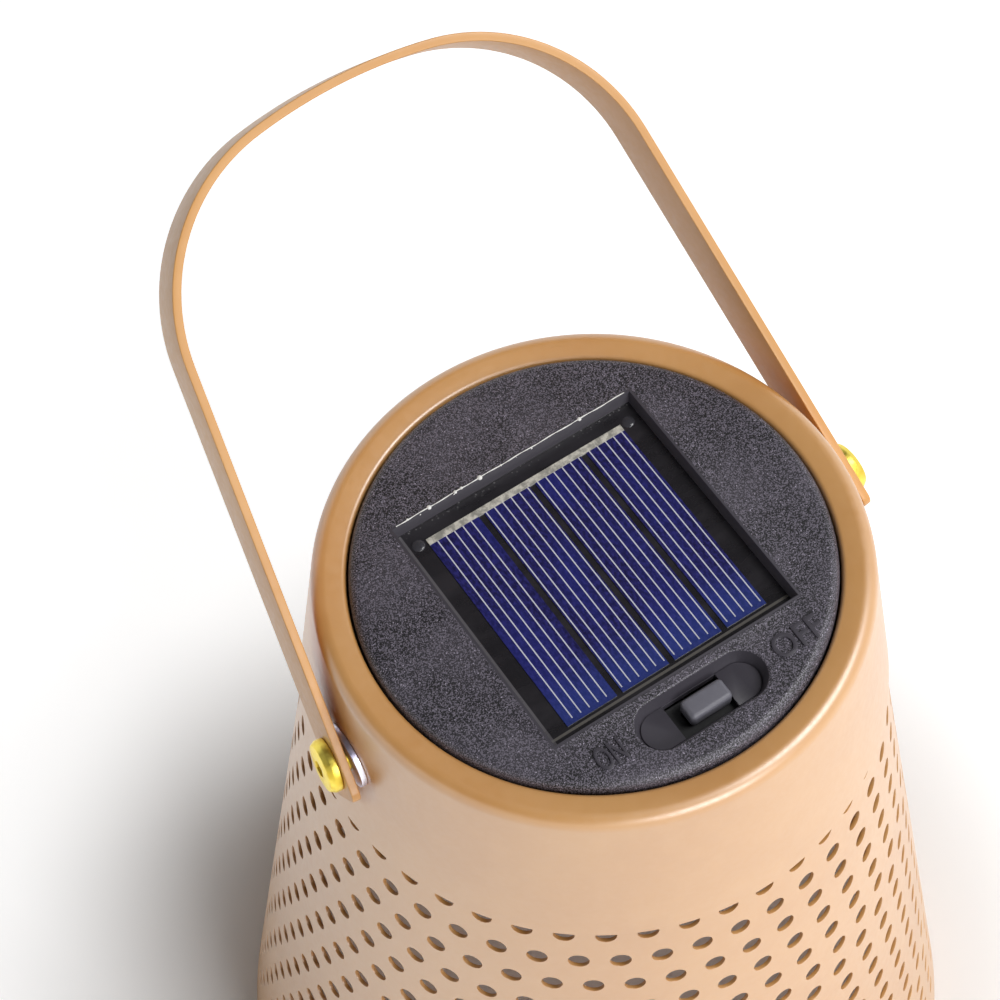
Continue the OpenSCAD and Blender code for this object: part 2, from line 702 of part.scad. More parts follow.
module housing_cup() {
    color([0.15, 0.15, 0.16]) in_module() difference() {
        union() {
            difference() {
                translate([0, 0, cup_z]) cylinder(h = cup_depth, r = cup_r);
                translate([0, 0, cup_floor]) cylinder(h = cup_depth, r = cup_r - cup_wall);
            }
            for (side = [-1, 1]) translate([side * (holder_x + holder_t / 2), battery_y, cup_floor])
                block(holder_t, contact_w, contact_h);
            for (side = [-1, 1]) translate([side * (board_l / 2 - board_post_inset), board_y, cup_floor])
                cylinder(h = board_rise, r = board_post_r, $fn = small_fn);
            translate([ear_x, ear_y, cup_floor]) cylinder(h = ear_post_h, r = ear_r, $fn = small_fn);
        }
        recess_cut(recess_wall + slide_gap, recess_under - slide_gap, recess_depth + recess_wall);
        translate([0, 0, cup_z - cut]) door_shape(0, cup_floor_t + 2 * cut);
        translate([0, 0, cup_z - cut]) cylinder(h = cup_floor_t + 2 * cut, r = lens_r + fit_gap);
        translate([0, 0, cup_z - cut]) at_posts()
            cylinder(h = cup_floor_t + 2 * cut, r = small_screw_r + fit_gap, $fn = small_fn);
        translate([ear_x, ear_y, cup_z - cut])
            cylinder(h = ear_post_h + cup_floor_t, r = small_screw_r + slide_gap, $fn = small_fn);
        for (side = [-1, 1]) translate([side * (board_l / 2 - board_post_inset), board_y, cup_floor + cut])
            cylinder(h = board_rise, r = small_screw_r + fit_gap, $fn = small_fn);
    }
}

module housing_screws() {
    color(zinc_colour) in_module() at_posts() translate([0, 0, cup_z - small_head_h]) small_screw();
}

// Circuit board and what it carries
module circuit_board() {
    color([0.12, 0.36, 0.20]) in_module() translate([0, board_y, board_z]) difference() {
        block(board_l, board_w, board_t);
        for (side = [-1, 1]) translate([side * (board_l / 2 - board_post_inset), 0, -cut])
            cylinder(h = board_t + 2 * cut, r = small_screw_r + fit_gap, $fn = small_fn);
    }
}

module board_screws() {
    color(zinc_colour) in_module() for (side = [-1, 1])
        translate([side * (board_l / 2 - board_post_inset), board_y, board_z + board_t + small_head_h])
            mirror([0, 0, 1]) difference() {
                small_screw();
                cylinder_above(small_head_h + board_t + board_rise - 2 * cut,
                    small_screw_l, small_screw_r + cut);
            }
}

module charge_chip() {
    color([0.08, 0.08, 0.09]) in_module() translate([chip_x, board_y, board_z + board_t])
        block(chip_w, chip_t, chip_h);
}

module coil() {
    color([0.25, 0.45, 0.30]) in_module() translate([coil_x, board_y, board_z + board_t + coil_d / 2])
        rotate([0, 90, 0]) translate([0, 0, -coil_l / 2]) cylinder(h = coil_l, d = coil_d);
}

module led() {
    color([0.95, 0.93, 0.80]) in_module() translate([0, 0, board_z]) mirror([0, 0, 1]) {
        cylinder(h = led_ring_t, d = led_ring_d, $fn = small_fn);
        cylinder(h = led_l - led_d / 2, d = led_d, $fn = small_fn);
        translate([0, 0, led_l - led_d / 2]) sphere(d = led_d, $fn = small_fn);
    }
}

module led_lens() {
    dome_z = cup_z - lens_drop;
    lens_top = cup_floor + lens_flange_t;
    color([0.92, 0.94, 0.95]) in_module() rotate_extrude() polygon(concat(
        arc([0, dome_z], lens_r, -90, 0),
        [[lens_r, cup_floor], [lens_flange_r, cup_floor],
            [lens_flange_r, lens_top], [lens_r - lens_wall, lens_top]],
        reversed(arc([0, dome_z], lens_r - lens_wall, -90, 0))));
}

// Slide switch under the recess, and its knob
module switch_body() {
    color([0.70, 0.72, 0.74]) in_module() translate([0, switch_y, switch_z]) difference() {
        block(switch_l, switch_w, switch_h);
        translate([0, 0, switch_frame_t])
            block(stem_l + knob_travel + 2 * slide_gap, stem_w + 2 * slide_gap, switch_h);
    }
}

module switch_knob() {
    knob_z = switch_top + slide_gap;
    color([0.24, 0.24, 0.27]) in_module() translate([knob_x, switch_y, 0]) {
        translate([0, 0, knob_z]) soft_block(knob_l, knob_w, cap_top - knob_sink - knob_z, knob_r);
        translate([0, 0, switch_z + switch_frame_t + slide_gap])
            block(stem_l, stem_w, knob_z - switch_z - switch_frame_t);
    }
}

// Battery, its sleeve and its contacts
module along_battery(x) translate([x, battery_y, battery_z]) rotate([0, 90, 0]) children();

module battery() {
    can_l = battery_l - button_h;
    color([0.78, 0.79, 0.80]) in_module() {
        along_battery(-battery_l / 2) cylinder(h = can_l, d = battery_d - 2 * sleeve_t);
        along_battery(battery_l / 2 - button_h) cylinder(h = button_h, d = button_d);
    }
}

module battery_sleeve() {
    can_l = battery_l - button_h;
    color([0.20, 0.52, 0.28]) in_module() along_battery(-battery_l / 2 + sleeve_t) difference() {
        cylinder(h = can_l - 2 * sleeve_t, d = battery_d);
        translate([0, 0, -cut]) cylinder(h = can_l + 2 * cut, d = battery_d - 2 * sleeve_t);
    }
}

// A contact plate with its tag folded over the holder's wall
module contact(side) {
    tag = holder_t + contact_t + 2 * fit_gap;
    mirror([side, 0, 0]) translate([contact_x, battery_y - contact_w / 2, cup_floor + fit_gap]) {
        cube([contact_t, contact_w, contact_h]);
        translate([0, 0, contact_h]) cube([tag, contact_w, contact_t]);
    }
}

module positive_contact() color(zinc_colour) in_module() contact(0);
module negative_contact() color(zinc_colour) in_module() contact(1);

// Insulated wires, each from its terminal to the board
board_top = board_z + board_t + wire_r;
contact_top = cup_floor + contact_h + contact_t + fit_gap + wire_r;
panel_tab = [panel_tab_x, panel_tab_y, panel_z - wire_r];
battery_tab = [holder_x + holder_t / 2, battery_y - contact_w / 4, contact_top];
switch_tab = [switch_tab_x, switch_y, switch_z - wire_r];
switch_land = [switch_tab_x, board_y - board_w / 3, board_top];
function wire_land(k) = [land_x, board_y + land_y - k * land_step, board_top];
function bowed(a, b, u, push) = a + u * (b - a) + push;
function wire_routes(side) = [for (p = [
    [panel_tab, bowed(panel_tab, wire_land(0), 0.35, [wire_bow / 2, 0, 0]),
        bowed(panel_tab, wire_land(0), 0.7, [wire_bow, 0, 0]), wire_land(0)],
    [battery_tab, bowed(battery_tab, wire_land(1), 0.25, [0, 0, 1.25 * wire_rise]),
        bowed(battery_tab, wire_land(1), 0.6, [0, 0, wire_rise]),
        bowed(battery_tab, wire_land(1), 0.85, [0, 0, 0.75 * wire_rise]), wire_land(1)],
    [switch_tab, bowed(switch_tab, switch_land, 0.1, [0, 0, -wire_rise / 3]),
        bowed(switch_tab, switch_land, 0.5, [0, 0, -wire_rise / 3]), switch_land]])
    [for (q = p) [side * q.x, q.y, q.z]]];
module red_wires() color([0.75, 0.10, 0.08]) in_module() for (r = wire_routes(1)) wire(r);
module black_wires() color([0.06, 0.06, 0.06]) in_module() for (r = wire_routes(-1)) wire(r);

// Battery door with its ribs, its screw ear and the captive screw
module battery_door() {
    color([0.17, 0.17, 0.18]) in_module() difference() {
        union() {
            translate([0, 0, door_top - door_t]) door_shape(door_lip, door_t);
            translate([ear_x, ear_y, door_top - door_t]) cylinder(h = door_t, r = ear_r, $fn = small_fn);
            translate([ear_x - ear_r, battery_y, door_top - door_t])
                cube([2 * ear_r, ear_y - battery_y, door_t]);
            for (x = [-1, 1]) translate([x * battery_l / 4, battery_y, door_top])
                block(door_rib_t, opening_w - 2 * slide_gap, saddle_h + battery_r / 3);
        }
        along_battery(-battery_l / 2) cylinder(h = battery_l, r = battery_r + slide_gap);
        translate([ear_x, ear_y, door_top - door_t - cut])
            cylinder(h = door_t + 2 * cut, r = small_screw_r + fit_gap, $fn = small_fn);
    }
}

module door_screw() {
    color(zinc_colour) in_module() translate([ear_x, ear_y, door_top - door_t - small_head_h]) small_screw();
}

shade();
collar();
rivet_nuts();
handle();
pivot_screws();
module_cap();
seal_ring();
solar_panel();
solar_cells();
cell_ribbon();
panel_adhesive();
housing_cup();
housing_screws();
circuit_board();
board_screws();
charge_chip();
coil();
led();
led_lens();
switch_body();
switch_knob();
battery();
battery_sleeve();
positive_contact();
negative_contact();
red_wires();
black_wires();
battery_door();
door_screw();
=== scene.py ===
import math
import random

import bpy
from mathutils import Matrix, Vector


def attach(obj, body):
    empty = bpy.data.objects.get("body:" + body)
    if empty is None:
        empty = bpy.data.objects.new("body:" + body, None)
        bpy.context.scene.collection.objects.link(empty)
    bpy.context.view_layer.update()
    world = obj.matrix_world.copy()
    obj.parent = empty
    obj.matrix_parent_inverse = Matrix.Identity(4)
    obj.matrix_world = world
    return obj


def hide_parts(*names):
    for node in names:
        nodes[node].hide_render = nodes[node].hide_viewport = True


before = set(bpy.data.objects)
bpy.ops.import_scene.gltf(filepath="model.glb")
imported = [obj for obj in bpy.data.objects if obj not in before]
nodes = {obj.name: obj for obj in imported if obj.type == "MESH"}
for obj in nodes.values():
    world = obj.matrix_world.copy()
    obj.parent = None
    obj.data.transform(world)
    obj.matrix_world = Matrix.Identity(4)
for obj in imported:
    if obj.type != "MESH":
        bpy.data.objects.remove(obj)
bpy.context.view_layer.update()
mm = 0.001
print("frame loaded:", len(nodes), "nodes")


# Levels and radii of the lamp in millimetres, as the solids have them
lamp = {
    "bodyHeight": 198, "collarZ": 162, "shadeTop": 172, "ledgeZ": 191.5,
    "pivotZ": 180.3, "capTop": 199.1, "capUnder": 196.6, "sheet": 0.8, "moduleTurn": 1.56,
}
sideways = (0, math.pi / 2, 0)


# Camera, light and floor

# The photograph's own view, in degrees and millimetres, aimed at the module's seat
photoView = {
    "azimuth": -29.24, "elevation": 59.662, "roll": -3.398, "distance": 491.65,
    "right": -16.258, "up": 11.627, "lens": 101.54, "aimHeight": 197.5,
}


def addCamera():
    a, e, r = (math.radians(photoView[k]) for k in ("azimuth", "elevation", "roll"))
    back = Vector((math.sin(a) * math.cos(e), -math.cos(a) * math.cos(e), math.sin(e)))
    level = Vector((0, 0, 1)).cross(back).normalized()
    upright = back.cross(level)
    right = level * math.cos(r) + upright * math.sin(r)
    up = upright * math.cos(r) - level * math.sin(r)
    place = (Vector((0, 0, photoView["aimHeight"])) + back * photoView["distance"]
             + right * photoView["right"] + up * photoView["up"]) * mm
    bpy.ops.object.camera_add(location=place)
    camera = bpy.context.object
    camera.name = "photoCamera"
    camera.matrix_world = Matrix.Translation(place) @ Matrix((right, up, back)).transposed().to_4x4()
    camera.data.lens = photoView["lens"]
    camera.data.sensor_width = 36
    camera.data.clip_start = 0.01
    camera.data.dof.use_dof = False
    bpy.context.scene.camera = camera


studio = {
    "ambient": 0.42, "floorTone": 0.9, "floorLift": 0.52, "floorSize": 2.4,
    # the floor's lift fades out from the outer radius in to the lamp's mouth: painted shade round the lamp's
    # foot
    "mouthRadius": 74, "paintedShadeRadius": 145, "lampAim": (0, 0, 0.15),
    "keyPower": 22.0, "keySize": 0.9, "keyPlace": (0.97, -0.55, 1.78),
    "sidePower": 18.0, "sideSize": 0.9, "sidePlace": (0.12, -1.7, 1.25),
    "ceilingHeight": 2.4, "ceilingSize": 6.4, "ceilingTone": 0.1,
}


def addLamp(name, power, size, place):
    bpy.ops.object.light_add(type="AREA", location=place)
    lampObject = bpy.context.object
    lampObject.name = name
    lampObject.data.energy = power
    lampObject.data.size = size
    aim = Vector(studio["lampAim"]) - Vector(place)
    lampObject.rotation_euler = aim.to_track_quat("-Z", "Y").to_euler()


def addStudio():
    world = bpy.data.worlds.new("studio")
    bpy.context.scene.world = world
    world.use_nodes = True
    tree = world.node_tree
    tree.nodes.clear()
    path = tree.nodes.new("ShaderNodeLightPath")
    soft = tree.nodes.new("ShaderNodeBackground")
    plain = tree.nodes.new("ShaderNodeBackground")
    soft.inputs["Color"].default_value = (1, 1, 1, 1)
    soft.inputs["Strength"].default_value = studio["ambient"]
    plain.inputs["Color"].default_value = (1, 1, 1, 1)
    seen = tree.nodes.new("ShaderNodeMath")
    seen.operation = "MAXIMUM"
    seenAll = tree.nodes.new("ShaderNodeMath")
    seenAll.operation = "MAXIMUM"
    choose = tree.nodes.new("ShaderNodeMixShader")
    out = tree.nodes.new("ShaderNodeOutputWorld")
    tree.links.new(path.outputs["Is Camera Ray"], seen.inputs[0])
    tree.links.new(path.outputs["Is Glossy Ray"], seen.inputs[1])
    tree.links.new(seen.outputs[0], seenAll.inputs[0])
    tree.links.new(path.outputs["Is Transmission Ray"], seenAll.inputs[1])
    tree.links.new(seenAll.outputs[0], choose.inputs[0])
    tree.links.new(soft.outputs[0], choose.inputs[1])
    tree.links.new(plain.outputs[0], choose.inputs[2])
    tree.links.new(choose.outputs[0], out.inputs["Surface"])
    addLamp("keyLight", studio["keyPower"], studio["keySize"], studio["keyPlace"])
    addLamp("sideLight", studio["sidePower"], studio["sideSize"], studio["sidePlace"])
    bpy.context.scene.view_settings.view_transform = "Standard"


# Shader sums and finishes

class Value:
    # a socket that takes part in sums, such as 1 - mask or grain * 0.3
    def __init__(self, finish, socket):
        self.finish, self.socket = finish, socket

    def sum(self, operation, a, b):
        return self.finish.node("ShaderNodeMath", {"operation": operation}, {0: a, 1: b})

    def __add__(self, other):
        return self.sum("ADD", self, other)

    def __radd__(self, other):
        return self.sum("ADD", other, self)

    def __sub__(self, other):
        return self.sum("SUBTRACT", self, other)

    def __rsub__(self, other):
        return self.sum("SUBTRACT", other, self)

    def __mul__(self, other):
        return self.sum("MULTIPLY", self, other)

    def __rmul__(self, other):
        return self.sum("MULTIPLY", other, self)


class Finish:
    # one material, with its plain values set on the shader and its pattern made of nodes
    def __init__(self, name, colour, settings):
        self.material = bpy.data.materials.new(name)
        self.material.use_nodes = True
        self.tree = self.material.node_tree
        self.shader = self.tree.nodes["Principled BSDF"]
        self.shader.inputs["Base Color"].default_value = (*colour, 1)
        for socket, value in settings.items():
            self.shader.inputs[socket].default_value = value

    def node(self, kind, settings=None, inputs=None, output=0):
        made = self.tree.nodes.new(kind)
        for key, value in (settings or {}).items():
            if key == "stops":
                for i, (place, colour) in enumerate(value):
                    stop = made.color_ramp.elements[i] if i < 2 else made.color_ramp.elements.new(place)
                    stop.position, stop.color = place, (*colour, 1)
            else:
                setattr(made, key, value)
        for socket, value in (inputs or {}).items():
            if isinstance(value, Value):
                self.tree.links.new(value.socket, made.inputs[socket])
            else:
                made.inputs[socket].default_value = value
        return Value(self, made.outputs[output])

    def single(self, operation, value):
        # a sum with one term
        return self.node("ShaderNodeMath", {"operation": operation}, {0: value})

    def place(self, turn=0, stretch=(1, 1, 1)):
        spot = self.node("ShaderNodeTexCoord", output="Object")
        return self.node("ShaderNodeMapping", None,
                         {"Vector": spot, "Rotation": (0, 0, math.radians(turn)), "Scale": stretch})

    def along(self, axis, turn=0):
        return self.node("ShaderNodeSeparateXYZ", None, {0: self.place(turn)}, output=axis)

    def noise(self, size, detail=2, rough=0.5, turn=0, stretch=(1, 1, 1)):
        return self.node("ShaderNodeTexNoise", None,
                         {"Vector": self.place(turn, stretch), "Scale": 1 / (size * mm),
                          "Detail": detail, "Roughness": rough})

    def spots(self, size, spread=1.0):
        return self.node("ShaderNodeTexVoronoi", {"feature": "F1"},
                         {"Vector": self.place(), "Scale": 1 / (size * mm), "Randomness": spread},
                         output="Distance")

    def band(self, value, low, high, toLow=0.0, toHigh=1.0):
        return self.node("ShaderNodeMapRange", {"clamp": True, "interpolation_type": "SMOOTHSTEP"},
                         {"Value": value, "From Min": low, "From Max": high,
                          "To Min": toLow, "To Max": toHigh})

    def stripe(self, value, edges):
        # full between the two middle edges, given in millimetres, and gone at the outer two
        low, lowFull, highFull, high = (edge * mm for edge in edges)
        return self.band(value, high, highFull) * self.band(value, low, lowFull)

    def blend(self, share, a, b):
        a = a if isinstance(a, Value) else (*a, 1)
        b = b if isinstance(b, Value) else (*b, 1)
        return self.node("ShaderNodeMix", {"data_type": "RGBA"}, {0: share, 6: a, 7: b}, output=2)

    def feed(self, socket, value):
        self.tree.links.new(value.socket, self.shader.inputs[socket])

    def relief(self, height, depth, strength=1.0):
        # depth in millimetres for a height of 1
        self.feed("Normal", self.node("ShaderNodeBump", None,
                                      {"Height": height, "Distance": depth * mm, "Strength": strength}))


def tone(red, green, blue):
    # screen values from 0 to 255 as the linear colour that renders so
    shares = (value / 255 for value in (red, green, blue))
    return tuple(((share + 0.055) / 1.055) ** 2.4 if share > 0.0404 else share / 12.92 for share in shares)


def dress(piece, material):
    piece.data.materials.clear()
    piece.data.materials.append(material)


def camelPaint(name, ior, coat):
    # satin powder coat: slight orange peel and faint clouds of tint
    paint = Finish(name, tone(212, 153, 85),
                   {"IOR": ior, "Coat Weight": coat, "Coat Roughness": 0.34, "Coat IOR": 1.8})
    clouds = paint.noise(38, 3, 0.55)
    peel = paint.noise(1.3, 2, 0.45)
    film = paint.noise(5, 3, 0.5)
    base = paint.blend(paint.band(clouds, 0.35, 0.68), tone(210, 151, 82), tone(216, 159, 90))
    paint.feed("Base Color", paint.blend(paint.band(film, 0.4, 0.7) * 0.3, base, tone(220, 165, 100)))
    paint.feed("Roughness", paint.band(peel, 0.3, 0.7, 0.36, 0.44))
    paint.relief(peel, 0.005)
    return paint.material


def sparkPlastic(name, dark, light, grain=0.34, depth=0.035, contrast=0.13, smoothPlaces=None):
    # spark-textured moulding: fine pits and grains, with painted highlights where some grains would catch the
    # light
    plastic = Finish(name, dark, {"IOR": 1.5})
    fine = plastic.noise(grain, 2, 0.6)
    coarse = plastic.noise(grain * 2.3, 2, 0.6)
    paintedGlints = plastic.band(plastic.spots(grain * 2.1), 0.26, 0.12)
    clouds = plastic.noise(14, 2, 0.5)
    body = plastic.blend(plastic.band(fine, 0.53 - contrast, 0.53 + contrast), dark, light)
    body = plastic.blend(plastic.band(clouds, 0.4, 0.65) * 0.2, body, light)
    # painted highlight: specks in a tone far above the plastic's own stand in for grains that catch the light
    bright = tuple(min(1, c * 3.6) for c in light)
    grains = plastic.blend(paintedGlints * plastic.band(coarse, 0.50, 0.60) * 0.85, body, bright)
    height = fine * 0.6 + coarse * 0.4
    rough = plastic.band(fine, 0.3, 0.7, 0.55, 0.30)
    if smoothPlaces:
        plain = smoothPlaces(plastic)
        middle = tuple(a + (b - a) * 0.3 for a, b in zip(dark, light))
        grains = plastic.blend(plain, grains, middle)
        height = height * (1 - plain)
        rough = rough + plain * (0.42 - rough)
    # the grain colour carries the painted highlight specks
    plastic.feed("Base Color", grains)
    plastic.feed("Roughness", rough)
    plastic.relief(height, depth)
    return plastic.material


# Where the cap is smooth, in millimetres: across the window, down from its top, outwards, and up a letter
smoothZones = {
    "lipFull": 25.75, "lipEnd": 25.95, "recessEnd": 0.12, "recessFull": 0.3, "rimFull": 39, "rimEnd": 39.5,
    "wordEnd": 0.18, "wordFull": 0.24,
}


def capSmooth(plastic):
    # the window's lip, the switch recess and the letters' tops are polished in the mould
    zone, top = smoothZones, lamp["capTop"]
    turn = -lamp["moduleTurn"]
    across = plastic.single("ABSOLUTE", plastic.along(0, turn))
    deep = plastic.single("ABSOLUTE", plastic.along(1, turn))
    lip = plastic.band(across.sum("MAXIMUM", across, deep), zone["lipEnd"] * mm, zone["lipFull"] * mm)
    low = plastic.band(plastic.along(2), (top - zone["recessEnd"]) * mm, (top - zone["recessFull"]) * mm)
    away = plastic.node("ShaderNodeVectorMath", {"operation": "LENGTH"},
                        {0: plastic.place(0, (1, 1, 0))}, output="Value")
    inner = plastic.band(away, zone["rimEnd"] * mm, zone["rimFull"] * mm)
    raised = plastic.band(plastic.along(2), (top + zone["wordEnd"]) * mm, (top + zone["wordFull"]) * mm)
    return lip.sum("MAXIMUM", lip.sum("MAXIMUM", lip, low * inner), raised)


def plainPlastic(name, colour, low=0.42, high=0.55, size=0.8, depth=0.008):
    # smooth moulding with a faint sheen and small marks
    plastic = Finish(name, colour, {"IOR": 1.5})
    grain = plastic.noise(size, 3, 0.6)
    marks = plastic.noise(6, 4, 0.65)
    lighter = tuple(min(1, c * 1.35 + 0.004) for c in colour)
    plastic.feed("Base Color", plastic.blend(plastic.band(marks, 0.45, 0.72) * 0.5, colour, lighter))
    plastic.feed("Roughness", plastic.band(marks, 0.3, 0.7, low, high))
    plastic.relief(grain, depth)
    return plastic.material


def metal(name, colour, low=0.18, high=0.34, lines=(1, 1, 1), size=0.5, stain=None, depth=0.006):
    # plated metal with fine tool lines and small changes of tint
    plate = Finish(name, colour, {"Metallic": 1.0})
    scratches = plate.noise(size, 3, 0.6, stretch=lines)
    clouds = plate.noise(3.5, 2, 0.5)
    plate.feed("Base Color", plate.blend(plate.band(clouds, 0.42, 0.68), colour,
                                         stain or tuple(c * 0.82 for c in colour)))
    plate.feed("Roughness", plate.band(scratches, 0.3, 0.7, low, high))
    plate.relief(scratches, depth)
    return plate.material


# Places of the panel's marks in its own square, in millimetres from the middle
panelMarks = {
    # the cells' pale band toward the switch is a painted reflection
    "paintedReflectionFrom": -10, "paintedReflectionTo": -24, "bubbleFrom": 23.4, "bubbleTo": 24.8,
    "ribbonFrom": 20.1, "ribbonTo": 20.4,
    # two pale stripes of painted reflection of the window's walls, on the switch side and the left side
    "paintedNearReflection": (-23.6, -23.5, -23.1, -23.0), "paintedSideReflection": (-24.8, -24.65, -24.2, -24.05),
}


def cellBlue():
    # polycrystalline silicon under resin: grains of deep blue, with a painted reflection that makes them paler
    # toward the switch
    cell = Finish("cellBlue", tone(42, 44, 130),
                  {"Coat Weight": 1.0, "Coat Roughness": 0.08, "Coat IOR": 1.5, "IOR": 1.5})
    turn = -lamp["moduleTurn"]
    grains = cell.noise(0.5, 3, 0.65, turn, (1, 0.5, 1))
    patches = cell.noise(7, 2, 0.5, turn, (1, 0.35, 1))
    # painted reflection: the cells turn paler over the last 14 mm toward the switch
    paintedReflection = cell.band(cell.along(1, turn), panelMarks["paintedReflectionFrom"] * mm, panelMarks["paintedReflectionTo"] * mm)
    body = cell.blend(cell.band(grains, 0.38, 0.65), tone(14, 10, 66), tone(34, 32, 110))
    body = cell.blend(cell.band(patches, 0.4, 0.65) * 0.45, body, tone(28, 36, 122))
    cell.feed("Base Color", cell.blend(paintedReflection * 0.6, body, tone(44, 66, 146)))
    cell.feed("Roughness", cell.band(grains, 0.3, 0.7, 0.30, 0.42))
    cell.relief(grains, 0.004)
    return cell.material


def panelBlack():
    # the laminate round the cells: almost black, glossy, bubbles by the far edge, and two pale stripes of
    # painted reflection of the window's walls
    board = Finish("panelBlack", tone(40, 37, 40),
                   {"Coat Weight": 0.7, "Coat Roughness": 0.12, "IOR": 1.5})
    turn = -lamp["moduleTurn"]
    smears = board.noise(5, 3, 0.6, turn, (0.35, 1, 1))
    far = board.band(board.along(1, turn), panelMarks["bubbleFrom"] * mm, panelMarks["bubbleTo"] * mm)
    bubbles = board.band(board.spots(0.75), 0.30, 0.16) * far
    body = board.blend(board.band(smears, 0.38, 0.68), tone(30, 28, 32), tone(37, 34, 39))
    # painted reflections: the window's walls mirrored in the glossy laminate as two pale stripes
    paintedNearReflection = board.stripe(board.along(1, turn), panelMarks["paintedNearReflection"])
    paintedSideReflection = board.stripe(board.along(0, turn), panelMarks["paintedSideReflection"])
    body = board.blend(paintedNearReflection * 0.6, body, tone(132, 128, 122))
    body = board.blend(paintedSideReflection * 0.6, body, tone(112, 109, 113))
    board.feed("Base Color", board.blend(bubbles * 0.5, body, tone(128, 126, 128)))
    board.feed("Roughness", board.band(smears, 0.3, 0.7, 0.22, 0.38))
    board.relief(bubbles + smears * 0.15, 0.01)
    return board.material


def silverInk():
    # printed silver: clean on the finger lines, woven and blotched on the ribbon
    ink = Finish("silverInk", tone(232, 233, 238), {"IOR": 1.5})
    turn = -lamp["moduleTurn"]
    ribbon = ink.band(ink.along(1, turn), panelMarks["ribbonFrom"] * mm, panelMarks["ribbonTo"] * mm)
    weave = ink.noise(0.45, 2, 0.7, turn, (1, 0.3, 1))
    blotches = ink.noise(1.6, 3, 0.7, turn)
    worn = ink.blend(ink.band(blotches, 0.36, 0.62), tone(168, 166, 158), tone(226, 223, 212))
    worn = ink.blend(ink.band(weave, 0.55, 0.7) * 0.4, worn, tone(140, 138, 132))
    ink.feed("Base Color", ink.blend(ribbon, tone(204, 206, 218), worn))
    ink.feed("Metallic", ribbon * 0.35)
    ink.feed("Roughness", ink.band(blotches, 0.3, 0.7, 0.32, 0.5))
    ink.relief(blotches * ribbon, 0.03)
    return ink.material


def clearLens():
    # frosted inside, so the noise only roughens it a little
    lens = Finish("clearLens", tone(238, 242, 245), {"Transmission Weight": 1.0, "IOR": 1.49})
    frost = lens.noise(0.9, 2, 0.6)
    lens.feed("Roughness", lens.band(frost, 0.3, 0.7, 0.08, 0.2))
    lens.relief(frost, 0.006)
    return lens.material


def floorWhite():
    # a little of its own light lifts the floor to white; the lift is gone inside the lamp's mouth and grows out
    # to a wider ring, so painted shade darkens the floor round the lamp's foot
    bright = studio["floorTone"]
    floor = Finish("floorWhite", (bright,) * 3, {"IOR": 1.3, "Roughness": 0.85})
    seen, glossy, through = (floor.node("ShaderNodeLightPath", output=f"Is {ray} Ray")
                             for ray in ("Camera", "Glossy", "Transmission"))
    seen = seen.sum("MAXIMUM", seen.sum("MAXIMUM", seen, glossy), through)
    mottle = floor.noise(60, 2, 0.5)
    floor.feed("Base Color", floor.blend(floor.band(mottle, 0.3, 0.7), (bright * 0.985,) * 3, (bright,) * 3))
    away = floor.node("ShaderNodeVectorMath", {"operation": "LENGTH"}, {0: floor.place()}, output="Value")
    # painted shade: no lift at the lamp's mouth and full lift at the outer radius, so the floor darkens round
    # the lamp
    outside = floor.band(away, studio["mouthRadius"] * mm, studio["paintedShadeRadius"] * mm)
    floor.shader.inputs["Emission Strength"].default_value = studio["floorLift"]
    floor.feed("Emission Color", floor.blend(seen * outside, (0, 0, 0), (1, 1, 1)))
    return floor.material


def ceilingGrey():
    grey = studio["ceilingTone"]
    ceiling = Finish("ceilingGrey", (grey,) * 3, {"Roughness": 0.9})
    mottle = ceiling.noise(400, 2, 0.5)
    ceiling.feed("Base Color", ceiling.blend(ceiling.band(mottle, 0.3, 0.7), (grey * 0.95,) * 3, (grey,) * 3))
    return ceiling.material


